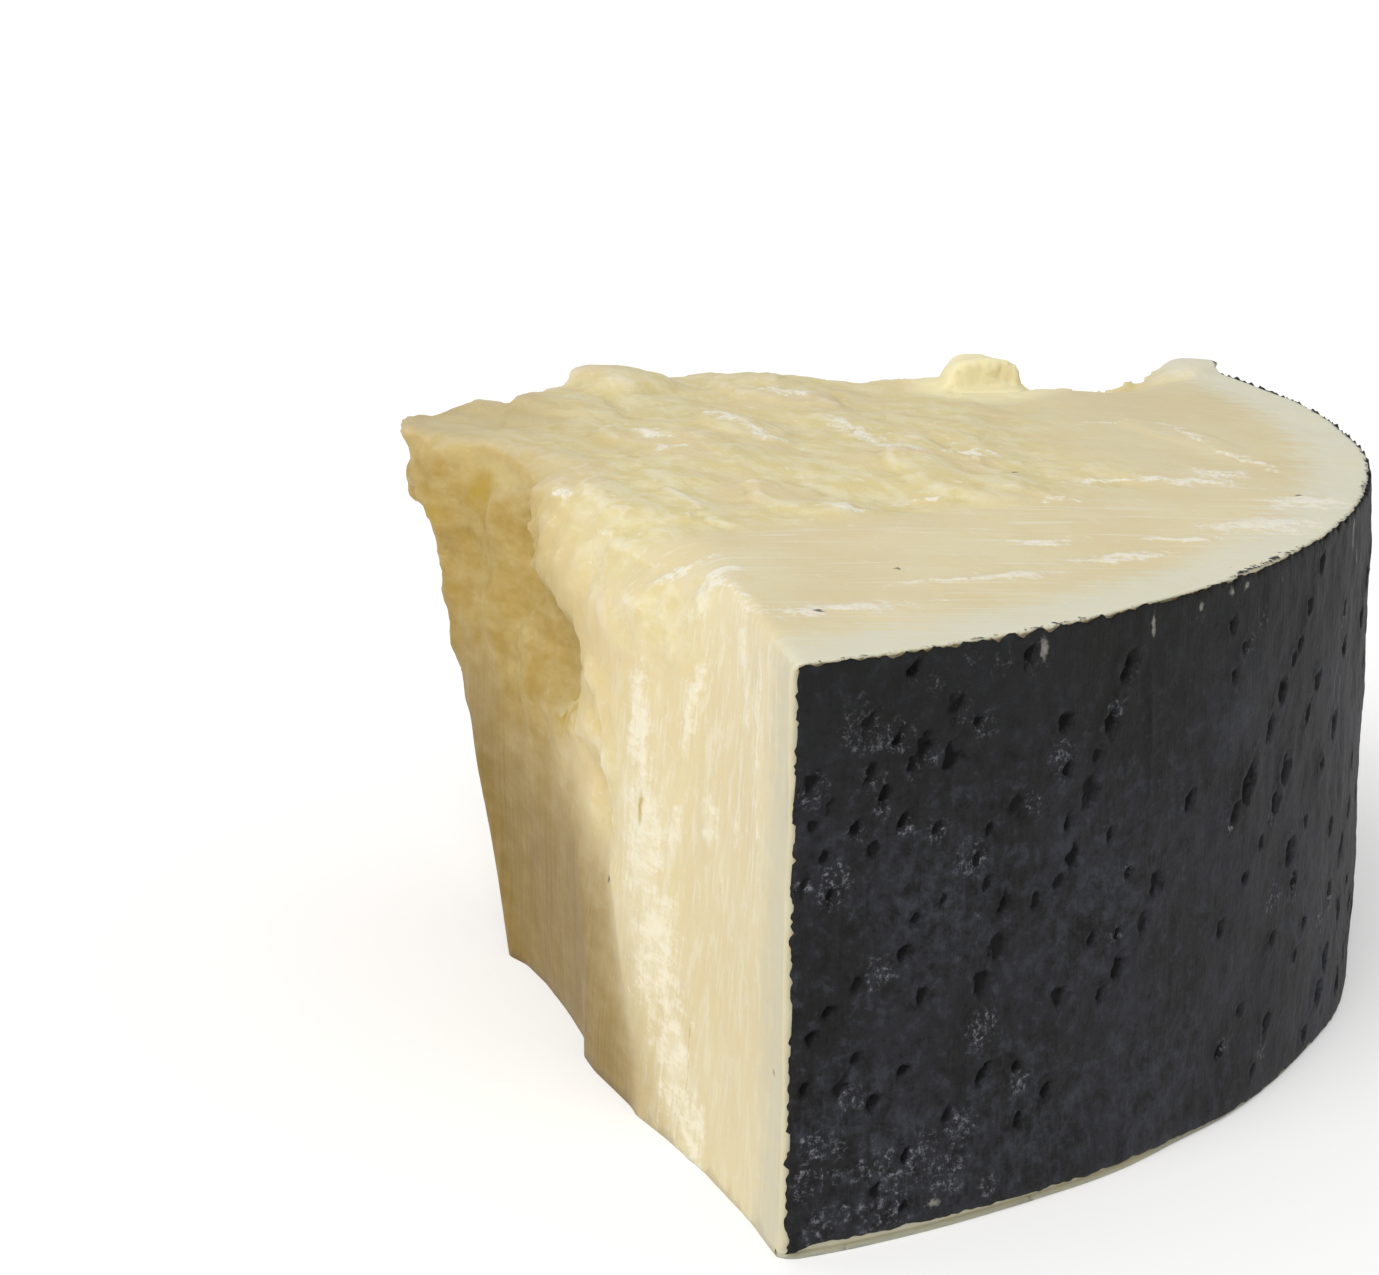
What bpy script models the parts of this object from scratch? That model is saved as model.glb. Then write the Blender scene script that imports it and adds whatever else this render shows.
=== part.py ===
"""A chunk of pecorino romano: about a quarter of a round cheese wheel, 78 mm thick.

The top, the base and the near part of the left side are cut with a knife. The back, the tip and
a hollow high on the left side are split, so the paste there is lumpy and craggy. The round side is
the wheel's black rind. Lengths are in metres, +Z is up and the chunk stands on z = 0.

Plan positions are given from the wheel's own axis, in millimetres. The finished solid is then
moved so that the middle of its box is at the origin.
"""

import math

import bmesh
import bpy
import numpy as np
from mathutils import Matrix, Vector, noise

MM = 0.001

# Driving dimensions
WHEEL_RADIUS = 150 * MM
CHUNK_HEIGHT = 78 * MM
NEAR_CORNER_ANGLE = math.radians(-67.5)
LEFT_CUT_HEADING = math.radians(112.0)
WHEEL_AXIS = Vector((-73.7 * MM, 34.2 * MM, 0.0))

# The left side from the near rind corner towards the tip, as distance along the straight cut and
# out from it: first of the top edge, then of the base edge.
LEFT_SIDE = (
    (-14, 1.2, -14, 2.4),
    (0, 0.9, 0, 1.9),
    (12, -1.5, 12, 0.8),
    (30, -6.0, 30, 0.2),
    (44, -7.5, 44, 0.8),
    (56, -5.5, 56, 1.8),
    (66, -3.4, 66, 1.4),
    (80, -3.0, 76, 0.4),
    (95, -3.0, 83, -2.2),
    (110, -4.0, 95, -3.8),
    (130, -3.5, 107, -5.0),
    (148, -1.0, 116, -5.0),
)
# The top edge of the split back, from the tip to past the far rind corner.
BACK_EDGE = (
    (-3.0, 9.0),
    (-3.0, 20.0),
    (3.0, 29.5),
    (9.0, 33.0),
    (14.0, 26.5),
    (18.5, 39.0),
    (24.0, 44.0),
    (30.0, 53.0),
    (41.0, 51.5),
    (57.0, 50.0),
    (72.0, 46.5),
    (87.0, 44.5),
    (104.0, 47.0),
    (117.0, 52.0),
    (124.0, 60.0),
    (130.0, 70.0),
    (146.0, 92.0),
)
# How far the foot of the back stands in from its top edge, at the tip and past the far corner.
TIP_LEAN = Vector((18.5, -34.0))
FAR_LEAN = Vector((6.0, -16.0))
LEAN_CURVE = 0.72

# Crags that stand up from the paste: centre, size and turn about Z.
CRAGS = {
    "knob": ((94.2, 38.6, 75.9), (15.0, 10.5, 13.4), 6),
    "small_bump": ((110.5, 45.0, 76.0), (9.0, 7.0, 6.0), 0),
    "far_lobe": ((131.0, 60.0, 75.0), (11.0, 17.0, 9.5), -28),
    "ridge": ((32.5, 41.0, 75.2), (15.0, 22.0, 11.0), 28),
    "tip_crag": ((5.8, 16.6, 71.2), (11.0, 21.0, 13.0), -18),
    "tip_lump": ((9.5, 27.0, 71.5), (11.0, 9.0, 11.0), 10),
}
SQUARENESS = 4
# Thin plates of paste that stand on the top: middle, length, width, heading and thickness.
FLAKES = (
    (76.0, -14.0, 30.0, 13.0, -64, 1.1),
    (84.0, -36.0, 44.0, 17.0, -72, 1.2),
    (53.0, 0.0, 26.0, 11.0, -58, 1.0),
    (38.0, -6.0, 22.0, 12.0, -40, 0.9),
    (24.0, 22.0, 24.0, 14.0, -50, 1.2),
    (58.0, 30.0, 34.0, 15.0, -56, 1.3),
    (36.0, -48.0, 34.0, 15.0, -66, 1.0),
    (60.0, -50.0, 26.0, 13.0, -60, 0.9),
    (121.0, -2.0, 34.0, 9.0, -60, 0.7),
)
PLATE_RAGGED = 0.35
PLATE_RAGGED_SIZE = 6.0
PLATE_RIM = (0.0, 0.3)
PLATE_HEAD, PLATE_TAIL = 0.7, 0.3
# The hollow in the left side: its upper right edge, where it starts to deepen and its lower edge.
# The first two give the distance along the cut for a height, the third a height for a distance.
CREST = (
    (8, 44), (20, 55), (34, 64), (55, 66.5), (60, 76), (64, 84), (68, 97), (72, 104), (80, 111),
    (90, 120),
)
DEEPER_FROM = ((0, 96), (30, 84), (48, 83), (58, 84), (63, 91), (68, 98), (80, 109), (90, 118))
LOWER_EDGE = (
    (80, 50), (90, 46), (96, 43), (104, 41), (113, 40.5), (122, 44), (128, 48), (140, 50),
    (170, 52),
)
# Past the crest the wall steps in to SHELF_DEPTH, but hardly at the foot, and the hollow is deeper
# still. CLEAR_OUT is where the cutter stays while it takes nothing away.
CLEAR_OUT = 7.0
SHELF_DEPTH = 3.6
FOOT_OUT = 1.0
FOOT_UP = (42, 2)
CREST_STEP = (-3, 6)
HOLLOW_DEPTH = 6.8
HOLLOW_RUN = (9.0, 24.0)
LONG_RUN_UP = (58, 74)
LOWER_SLOPE = 0.7
# The tip, where the hollow ends: along and up.
TIP_ALONG = (134, 160)
TIP_UP = (46, 74)
# The cutter with the hollow's form: how far along, up and out it runs, and its mesh step.
CUTTER_ALONG = (38.0, 186.0)
CUTTER_UP = (-10.0, 96.0)
CUTTER_OUT = 30.0
CUTTER_STEP = 4.0
# The loft of the sides, at these shares of the height; the last is clear of the top.
LOFT_RISES = (-0.2, 0.0, 0.25, 0.5, 0.7, 0.85, 0.95, 1.0, 1.2)
# Where each kind of surface lies; a pair is where a share starts and where it is full.
ROUGH_BORDER = ((45, -76), (145, -36))  # near border of the top's rough part, as (x, y)
ROUGH_FADE = (0, 12)
CALM_SHARE = 0.8
CALM_RIGHT = (92, 112)
CALM_SLANT = 0.2
LEFT_SIDE_DEPTH = 24
LEFT_SIDE_LENGTH = 150
PAST_CREST = (-2, 6)
ABOVE_FOOT = (30, 36)
ABOVE_LOWER_EDGE = (-4, 2)
BEFORE_HOLLOW = (92, 80)
SHOULDER_SHARE = 0.8
SHOULDER_ALONG = (40, 56)
SHOULDER_UP = (56, 68)
TIP_SPLIT_ALONG = (132, 150)
TIP_SPLIT_UP = (20, 50)
BACK_FACING_SHARE = (0.2, 0.6)
BACK_CALM = 0.7
BACK_CALM_UP = (62, 76)
RIND_DEPTH = 2.2
RIND_FADE = 1.2
RIND_TILT = (0.5, 0.8)
FACING_UP = (0.3, 0.8)

# Lumps in the surface, as height, size, stretch and turn of the paste's grain.
TOP_GRAIN = math.radians(-30)
SIDE_GRAIN = math.radians(26)
TOP_LUMPS = (1.4, 15.0, 1.8, TOP_GRAIN)
SPLIT_LUMPS = (2.4, 15.0, 1.8, SIDE_GRAIN)
FINE_LUMPS = (0.27, 5.5, 1.0, SIDE_GRAIN)
BACK_CRAGS = (7.0, 30.0, 1.0, SIDE_GRAIN)
BACK_KNOBS = (3.2, 11.0, 1.0, SIDE_GRAIN)
CUT_WAVES = (0.35, 24.0)
RIND_WAVES = (0.6, 20.0)
TOP_CROWN = 1.6
CROWN_FROM_RIND = (148, 103)
CROWN_FROM_NEAR = (-100, -20)
CROWN_FROM_LEFT = (-10, 50)
# The rounded edge between the top and the left side: least and added radius, and where.
EDGE_RADIUS = 1.5
SHOULDER_RADIUS = 10.0
SHOULDER_GROWS = (40, 64)
SHOULDER_SHRINKS = (118, 136)
TIP_RADIUS_SHARE = 0.25
# Where the top's back edge has crumbled away: place, reach and depth.
BACK_DIP = ((110.0, 56.0), 23.0, 4.8)
BACK_DIP_FLOOR = 0.2
BACK_FACING = Vector((-0.35, 0.94))
TOP_FACING = 0.55

VOXEL = 2.0 * MM
RIM_ROUNDS = 1
FINISHED_SHARE = 0.23
BELOW_BASE = 6 * MM

NEAR_CORNER = WHEEL_RADIUS / MM * Vector((math.cos(NEAR_CORNER_ANGLE), math.sin(NEAR_CORNER_ANGLE)))
LEFT_ALONG = Vector((math.cos(LEFT_CUT_HEADING), math.sin(LEFT_CUT_HEADING)))
LEFT_OUT = Vector((-LEFT_ALONG.y, LEFT_ALONG.x))


def smooth(low, high, value):
    """0 below low, 1 above high, and an even S-curve between."""
    t = min(max((value - low) / (high - low), 0.0), 1.0)
    return t * t * (3.0 - 2.0 * t)


def edge_at(points, value):
    """A line through (value, place) points, read at a value."""
    known, places = zip(*points)
    return float(np.interp(value, known, places))


def left_point(along, out):
    """Plan position beside the left cut."""
    return NEAR_CORNER + LEFT_ALONG * along + LEFT_OUT * out


def outline(rise):
    """The cut and split sides in plan, at a share of the height; it runs wide of the rind."""
    lean_share = abs(1.0 - rise) ** LEAN_CURVE * math.copysign(1.0, 1.0 - rise)
    points = []
    for top_along, top_out, base_along, base_out in LEFT_SIDE:
        points.append(left_point(base_along, base_out).lerp(left_point(top_along, top_out), rise))
    for i, place in enumerate(BACK_EDGE):
        lean = TIP_LEAN.lerp(FAR_LEAN, i / (len(BACK_EDGE) - 1))
        points.append(Vector(place) + lean * lean_share)
    wide = 1.6 * WHEEL_RADIUS / MM
    points += [Vector((wide, 0.6 * wide)), Vector((wide, -wide)), Vector((0.4 * wide, -wide))]
    return points


def new_object(name, mesh_data, collection):
    mesh = bpy.data.meshes.new(name)
    mesh_data.to_mesh(mesh)
    mesh_data.free()
    made = bpy.data.objects.new(name, mesh)
    collection.objects.link(made)
    return made


def sides_block(collection):
    """A loft between the outline at the base and the outline above the top."""
    bm = bmesh.new()
    rings = []
    for rise in LOFT_RISES:
        height = rise * CHUNK_HEIGHT
        rings.append([bm.verts.new((p.x * MM, p.y * MM, height)) for p in outline(rise)])
    for low, high in zip(rings, rings[1:]):
        for i in range(len(low)):
            j = (i + 1) % len(low)
            bm.faces.new((low[i], low[j], high[j], high[i]))
    bm.faces.new(rings[0])
    bm.faces.new(rings[-1])
    bmesh.ops.recalc_face_normals(bm, faces=bm.faces)
    return new_object("sides_block", bm, collection)


def wheel_slab(collection):
    """The slab of the wheel that the chunk is cut from, a little too deep until its base is cut."""
    depth = CHUNK_HEIGHT + BELOW_BASE
    bm = bmesh.new()
    bmesh.ops.create_cone(
        bm, cap_ends=True, segments=180, radius1=WHEEL_RADIUS, radius2=WHEEL_RADIUS,
        depth=depth, matrix=Matrix.Translation((0, 0, CHUNK_HEIGHT - depth / 2)),
    )
    return new_object("wheel_slab", bm, collection)


def under_base(collection):
    """A block whose flat top trims the chunk's base."""
    bm = bmesh.new()
    size = 4 * WHEEL_RADIUS
    place = Matrix.Translation((0, 0, -size / 2)) @ Matrix.Scale(size, 4)
    bmesh.ops.create_cube(bm, size=1.0, matrix=place)
    return new_object("under_base", bm, collection)


def crag(name, spec, collection):
    """A rounded lump, squarer than an ellipsoid, at a place in millimetres."""
    centre, size, degrees = spec
    bm = bmesh.new()
    bmesh.ops.create_icosphere(bm, subdivisions=3, radius=0.5)
    for vert in bm.verts:
        x, y, z = vert.co * 2
        fullness = (x ** SQUARENESS + y ** SQUARENESS + z ** SQUARENESS) ** (1 / SQUARENESS)
        vert.co = Vector((x * size[0], y * size[1], z * size[2])) * (MM * 0.5 / fullness)
    turn = Matrix.Rotation(math.radians(degrees), 4, "Z")
    bm.transform(Matrix.Translation(Vector(centre) * MM) @ turn)
    return new_object(name, bm, collection)


def hollow_wall(along, up):
    """How far out the left side stands after the hollow is split away; far out where it isn't."""
    tip = smooth(*TIP_ALONG, along) * smooth(*TIP_UP, up)
    depth = SHELF_DEPTH - (SHELF_DEPTH + FOOT_OUT) * smooth(*FOOT_UP, up)
    step = smooth(*CREST_STEP, along - edge_at(CREST, up))
    inside = min(along - edge_at(DEEPER_FROM, up), LOWER_SLOPE * (up - edge_at(LOWER_EDGE, along)))
    run = HOLLOW_RUN[0] + HOLLOW_RUN[1] * smooth(*LONG_RUN_UP, up)
    hollow = HOLLOW_DEPTH * smooth(0, run, inside)
    return CLEAR_OUT - ((CLEAR_OUT + depth) * step + hollow) * (1.0 - tip)


def hollow_block(collection):
    """The paste that is split away from the left side: a block with the hollow's form inside."""
    bm = bmesh.new()
    alongs = np.arange(*CUTTER_ALONG, CUTTER_STEP)
    rings = []
    for up in np.arange(*CUTTER_UP, CUTTER_STEP):
        inner = [left_point(along, hollow_wall(along, up)) for along in alongs]
        outer = [left_point(along, CUTTER_OUT) for along in reversed(alongs)]
        rings.append([bm.verts.new((p.x * MM, p.y * MM, up * MM)) for p in inner + outer])
    for low, high in zip(rings, rings[1:]):
        for i in range(len(low)):
            j = (i + 1) % len(low)
            bm.faces.new((low[i], low[j], high[j], high[i]))
    bm.faces.new(rings[0])
    bm.faces.new(rings[-1])
    bmesh.ops.recalc_face_normals(bm, faces=bm.faces)
    return new_object("hollow_block", bm, collection)


def boolean(target, other, operation):
    modifier = target.modifiers.new(operation.lower(), "BOOLEAN")
    modifier.operation = operation
    modifier.solver = "EXACT"
    modifier.object = other


def evaluated_copy(source, name, collection):
    """The source with its modifiers applied, as a new object."""
    depsgraph = bpy.context.evaluated_depsgraph_get()
    mesh = bpy.data.meshes.new_from_object(source.evaluated_get(depsgraph))
    mesh.name = name
    made = bpy.data.objects.new(name, mesh)
    collection.objects.link(made)
    return made


def lumps(place, kind, shift=0.0):
    """Rounded lumps of one kind: how far the surface stands out there."""
    height, size, stretch, grain = kind
    local = Matrix.Rotation(grain, 3, "Z") @ (place + Vector((shift, shift, shift)))
    local = Vector((local.x, local.y / stretch, local.z)) / size
    return height * (noise.noise(local) + 0.5 * noise.noise(local * 2.1 + Vector((7, 3, 5))))


def waves(place, kind):
    height, size = kind
    return height * noise.noise(place / size)


def beside_left_cut(place):
    """Distance along the left cut and out from it."""
    away = place.xy - NEAR_CORNER
    return away.dot(LEFT_ALONG), away.dot(LEFT_OUT)


def split_share(place, normal):
    """1 where the paste was split, 0 where it was cut or is rind."""
    x, y, z = place
    along, out = beside_left_cut(place)
    if normal.z > TOP_FACING:
        rough = smooth(*ROUGH_FADE, y - edge_at(ROUGH_BORDER, x))
        return rough * (1.0 - CALM_SHARE * smooth(*CALM_RIGHT, x + CALM_SLANT * y))
    faces_left = normal.xy.dot(LEFT_OUT) > FACING_UP[0]
    if not (faces_left and out > -LEFT_SIDE_DEPTH and along < LEFT_SIDE_LENGTH):
        return 1.0
    past_crest = smooth(*PAST_CREST, along - edge_at(CREST, z)) * smooth(*ABOVE_FOOT, z)
    above_lower = smooth(*ABOVE_LOWER_EDGE, z - edge_at(LOWER_EDGE, along)) + smooth(*BEFORE_HOLLOW, along)
    shoulder = SHOULDER_SHARE * smooth(*SHOULDER_ALONG, along) * smooth(*SHOULDER_UP, z)
    tip = smooth(*TIP_SPLIT_ALONG, along) * smooth(*TIP_SPLIT_UP, z)
    return max(past_crest * min(above_lower, 1.0), shoulder, tip)


def back_share(place, normal):
    """1 on the split back, less towards its top edge."""
    facing = smooth(*BACK_FACING_SHARE, normal.xy.dot(BACK_FACING))
    return facing * (1.0 - BACK_CALM * smooth(*BACK_CALM_UP, place.z))


def flake_rise(place):
    """Height of the plates at a point of the top; each is steep along its near side."""
    rise = 0.0
    for x, y, length, width, heading, thickness in FLAKES:
        turn = math.radians(heading)
        away = place.xy - Vector((x, y))
        u = (away.x * math.cos(turn) + away.y * math.sin(turn)) * 2 / length
        v = (away.y * math.cos(turn) - away.x * math.sin(turn)) * 2 / width
        ragged = PLATE_RAGGED * noise.noise(place / PLATE_RAGGED_SIZE + Vector((x, y, 0)))
        inside = 1.0 - u * u - v * v + ragged
        rise = max(rise, thickness * smooth(*PLATE_RIM, inside) * (PLATE_HEAD - PLATE_TAIL * u))
    return rise


def rind_share(place, normal):
    reach = math.hypot(place.x, place.y) - (WHEEL_RADIUS / MM - RIND_DEPTH)
    return smooth(0, RIND_FADE, reach) * (1.0 - smooth(*RIND_TILT, abs(normal.z)))


def shoulder_move(place):
    """Where the top turns down into the left side: how the sharp edge moves in and down."""
    along, out = beside_left_cut(place)
    towards_tip = 1.0 - (1.0 - TIP_RADIUS_SHARE) * smooth(*SHOULDER_SHRINKS, along)
    radius = EDGE_RADIUS + SHOULDER_RADIUS * smooth(*SHOULDER_GROWS, along) * towards_tip
    side = edge_at([spec[:2] for spec in LEFT_SIDE], along)
    side = min(side, hollow_wall(along, CHUNK_HEIGHT / MM))
    above = max(radius - (CHUNK_HEIGHT / MM - place.z), 0.0)
    beyond = min(max(radius - (side - out), 0.0), radius)
    reach = math.hypot(above, beyond)
    if reach <= radius or along > LEFT_SIDE_LENGTH:
        return Vector((0, 0, 0))
    share = (reach - radius) / reach
    return Vector((*(-LEFT_OUT * share * beyond), -share * above))


def relief(place, normal):
    """How far a point of the surface moves, in millimetres, as a vector."""
    rind = rind_share(place, normal)
    split = split_share(place, normal) * (1.0 - rind)
    back = split * back_share(place, normal)
    fine = lumps(place, FINE_LUMPS, 40)
    on_top = lumps(place, TOP_LUMPS) + TOP_LUMPS[0] * fine
    on_side = lumps(place, SPLIT_LUMPS) + SPLIT_LUMPS[0] * fine
    out = split * (on_side + smooth(*FACING_UP, normal.z) * (on_top - on_side))
    out += back * (lumps(place, BACK_CRAGS, 90) + lumps(place, BACK_KNOBS, 60))
    out += (1.0 - split) * waves(place, CUT_WAVES) + rind * waves(place, RIND_WAVES)
    moved = normal * out + shoulder_move(place)
    if normal.z > FACING_UP[0]:
        middle = smooth(*CROWN_FROM_RIND, place.xy.length) * smooth(*CROWN_FROM_NEAR, place.y)
        crown = TOP_CROWN * middle * smooth(*CROWN_FROM_LEFT, place.x)
        spot, reach, depth = BACK_DIP
        dip = depth * smooth(reach, BACK_DIP_FLOOR * reach, (place.xy - Vector(spot)).length)
        moved.z += (crown + flake_rise(place) - dip) * smooth(*FACING_UP, normal.z)
    return moved


def shape_surface(target):
    """Give the remeshed solid its lumps, ridges and unevenness."""
    bm = bmesh.new()
    bm.from_mesh(target.data)
    bm.normal_update()
    rough = [vert for vert in bm.verts if split_share(vert.co / MM, vert.normal) > 0.5]
    for _ in range(RIM_ROUNDS):
        bmesh.ops.smooth_vert(bm, verts=rough, factor=0.5, use_axis_x=True, use_axis_y=True, use_axis_z=True)
    bm.normal_update()
    moves = [relief(vert.co / MM, vert.normal) * MM for vert in bm.verts]
    for vert, move in zip(bm.verts, moves):
        vert.co += move
    bm.to_mesh(target.data)
    bm.free()


def paste_material():
    """Ivory cheese paste; the black rind is a coat on the round side of the same piece."""
    material = bpy.data.materials.new("pecorino_paste")
    material.use_nodes = True
    surface = material.node_tree.nodes["Principled BSDF"]
    surface.inputs["Base Color"].default_value = (0.80, 0.70, 0.44, 1.0)
    surface.inputs["Roughness"].default_value = 0.48
    surface.inputs["Metallic"].default_value = 0.0
    return material


def rind_material():
    material = bpy.data.materials.new("black_rind")
    material.use_nodes = True
    surface = material.node_tree.nodes["Principled BSDF"]
    surface.inputs["Base Color"].default_value = (0.021, 0.022, 0.027, 1.0)
    surface.inputs["Roughness"].default_value = 0.5
    surface.inputs["Metallic"].default_value = 0.0
    return material


def colour_rind(target):
    """Give the faces on the round side the rind's material."""
    target.data.materials.append(paste_material())
    target.data.materials.append(rind_material())
    for face in target.data.polygons:
        place = (face.center - WHEEL_AXIS) / MM
        face.material_index = 1 if rind_share(place, face.normal) > 0.5 else 0


def build():
    for old in list(bpy.data.objects):
        bpy.data.objects.remove(old, do_unlink=True)
    parts = bpy.data.collections.new("pecorino_romano_chunk")
    helpers = bpy.data.collections.new("cutters")
    bpy.context.scene.collection.children.link(parts)
    bpy.context.scene.collection.children.link(helpers)

    wedge = wheel_slab(helpers)
    boolean(wedge, sides_block(helpers), "INTERSECT")
    boolean(wedge, hollow_block(helpers), "DIFFERENCE")
    for name, spec in CRAGS.items():
        boolean(wedge, crag(name, spec, helpers), "UNION")
    remesh = wedge.modifiers.new("even_faces", "REMESH")
    remesh.mode = "VOXEL"
    remesh.voxel_size = VOXEL

    chunk = evaluated_copy(wedge, "pecorino_chunk", parts)
    shape_surface(chunk)
    chunk.data.transform(Matrix.Translation(WHEEL_AXIS))
    chunk.data.shade_smooth()
    colour_rind(chunk)
    fewer = chunk.modifiers.new("fewer_faces", "DECIMATE")
    fewer.ratio = FINISHED_SHARE
    boolean(chunk, under_base(helpers), "DIFFERENCE")
    for helper in helpers.objects:
        helper.hide_render = True
        helper.display_type = "WIRE"
    return chunk


build()
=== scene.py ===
"""Looks of a chunk of pecorino romano that stands on its flat cut base.

Lengths are in millimetres and plan positions are given from the wheel's own axis, as in the solid
part; each finished mesh is moved into the part's frame, in metres, in one step.
"""

import math

import bmesh
import bpy
import numpy as np
from mathutils import Matrix, Vector, bvhtree, noise


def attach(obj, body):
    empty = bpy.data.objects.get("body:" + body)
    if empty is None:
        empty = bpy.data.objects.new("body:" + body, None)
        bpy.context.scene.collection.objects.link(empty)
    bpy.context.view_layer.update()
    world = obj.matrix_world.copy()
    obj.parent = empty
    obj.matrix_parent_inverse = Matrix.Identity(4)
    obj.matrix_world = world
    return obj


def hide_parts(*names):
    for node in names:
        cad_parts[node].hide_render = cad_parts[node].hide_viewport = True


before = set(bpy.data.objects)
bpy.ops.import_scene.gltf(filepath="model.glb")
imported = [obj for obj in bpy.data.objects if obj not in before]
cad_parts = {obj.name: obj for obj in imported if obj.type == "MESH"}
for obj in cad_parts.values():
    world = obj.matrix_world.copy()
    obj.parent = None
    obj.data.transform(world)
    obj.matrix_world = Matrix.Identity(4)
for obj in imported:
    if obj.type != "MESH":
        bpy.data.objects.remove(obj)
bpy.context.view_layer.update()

# ---------------------------------------------------------------------------------------------
# The table and the studio round it: the camera, a white sweep that glows a little, and one big
# soft light to the front left.

MM = 0.001
WHEEL_AXIS = Vector((-73.7, 34.2, 0.0))
TO_PART = Matrix.Scale(MM, 4) @ Matrix.Translation(WHEEL_AXIS)

PHOTO_WIDTH = 1379
FOCAL_PIXELS = 3500
CAMERA_PLACE = (43.95, -546.75, 187.25)
CAMERA_PITCH = 14.55
SENSOR = 36.0


def new_object(name, data):
    made = bpy.data.objects.new(name, data)
    bpy.context.scene.collection.objects.link(made)
    return made


def new_finish(name):
    made = bpy.data.materials.new(name)
    made.use_nodes = True
    return made


camera_data = bpy.data.cameras.new("camera")
camera_data.sensor_width = SENSOR
camera_data.lens = FOCAL_PIXELS / PHOTO_WIDTH * SENSOR
camera = new_object("camera", camera_data)
camera.location = TO_PART @ Vector(CAMERA_PLACE)
camera.rotation_euler = (math.radians(90 - CAMERA_PITCH), 0, 0)
bpy.context.scene.camera = camera

FLOOR_HALF = 12.0
FLOOR_COLOUR = (0.77, 0.765, 0.76, 1.0)
FLOOR_GLOW = (0.25, 0.25, 0.25, 1.0)
FLOOR_ROUGHNESS = 0.9
FLOOR_SHINE = 0.1

floor_mesh = bpy.data.meshes.new("floor")
bm = bmesh.new()
bmesh.ops.create_grid(bm, x_segments=2, y_segments=2, size=FLOOR_HALF)
bm.to_mesh(floor_mesh)
bm.free()
floor = new_object("floor", floor_mesh)
floor_finish = new_finish("white_sweep")
sweep = floor_finish.node_tree.nodes["Principled BSDF"]
sweep.inputs["Base Color"].default_value = FLOOR_COLOUR
sweep.inputs["Roughness"].default_value = FLOOR_ROUGHNESS
sweep.inputs["Specular IOR Level"].default_value = FLOOR_SHINE
sweep.inputs["Emission Color"].default_value = FLOOR_GLOW
sweep.inputs["Emission Strength"].default_value = 1.0
floor_mesh.materials.append(floor_finish)

KEY_FROM = (-0.5, -0.95, 0.95)
KEY_STRENGTH = 2.0
KEY_SPREAD = math.radians(50)
SKY_COLOUR = (1.0, 1.0, 1.0, 1.0)
SKY_STRENGTH = 0.62

sun_data = bpy.data.lights.new("key", "SUN")
sun_data.energy = KEY_STRENGTH
sun_data.angle = KEY_SPREAD
sun = new_object("key", sun_data)
sun.rotation_euler = Vector(KEY_FROM).to_track_quat("Z", "Y").to_euler()

world = bpy.data.worlds.new("studio")
world.use_nodes = True
sky = world.node_tree.nodes["Background"]
sky.inputs["Color"].default_value = SKY_COLOUR
sky.inputs["Strength"].default_value = SKY_STRENGTH
bpy.context.scene.world = world
bpy.context.scene.view_settings.view_transform = "Standard"

# ---------------------------------------------------------------------------------------------
# The paste: hard ewe's milk cheese, one quarter of a round wheel. The top, the base and the near
# part of the left side are cut with a knife; the back, the tip and the hollow high on the left
# side are split, so they are lumpy and craggy.

WHEEL_RADIUS = 150.0
CHUNK_HEIGHT = 78.0
BELOW_BASE = 6.0
NEAR_CORNER_ANGLE = math.radians(-67.5)
LEFT_CUT_HEADING = math.radians(112.0)

# The left side from the near rind corner towards the tip, as distance along the straight cut and
# out from it: first of the top edge, then of the base edge.
LEFT_SIDE = (
    (-14, 1.2, -14, 2.4),
    (0, 0.9, 0, 1.9),
    (12, -1.5, 12, 0.8),
    (30, -6.0, 30, 0.2),
    (44, -7.5, 44, 0.8),
    (56, -5.5, 56, 1.8),
    (66, -3.4, 66, 1.4),
    (80, -3.0, 76, 0.4),
    (95, -3.0, 83, -2.2),
    (110, -4.0, 95, -3.8),
    (130, -3.5, 107, -5.0),
    (148, -1.0, 116, -5.0),
)
# The top edge of the split back, from the tip to past the far rind corner.
BACK_EDGE = (
    (-3.0, 9.0),
    (-3.0, 20.0),
    (3.0, 29.5),
    (9.0, 33.0),
    (14.0, 26.5),
    (18.5, 39.0),
    (24.0, 44.0),
    (30.0, 53.0),
    (41.0, 51.5),
    (57.0, 50.0),
    (72.0, 46.5),
    (87.0, 44.5),
    (104.0, 47.0),
    (117.0, 52.0),
    (124.0, 60.0),
    (130.0, 70.0),
    (146.0, 92.0),
)
# How far the foot of the back stands in from its top edge, at the tip and past the far corner.
TIP_LEAN = Vector((18.5, -34.0))
FAR_LEAN = Vector((6.0, -16.0))
LEAN_CURVE = 0.72
# The loft's rings, as shares of the chunk's height.
LOFT_RISES = (-0.2, 0.0, 0.25, 0.5, 0.7, 0.85, 0.95, 1.0, 1.2)

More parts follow.
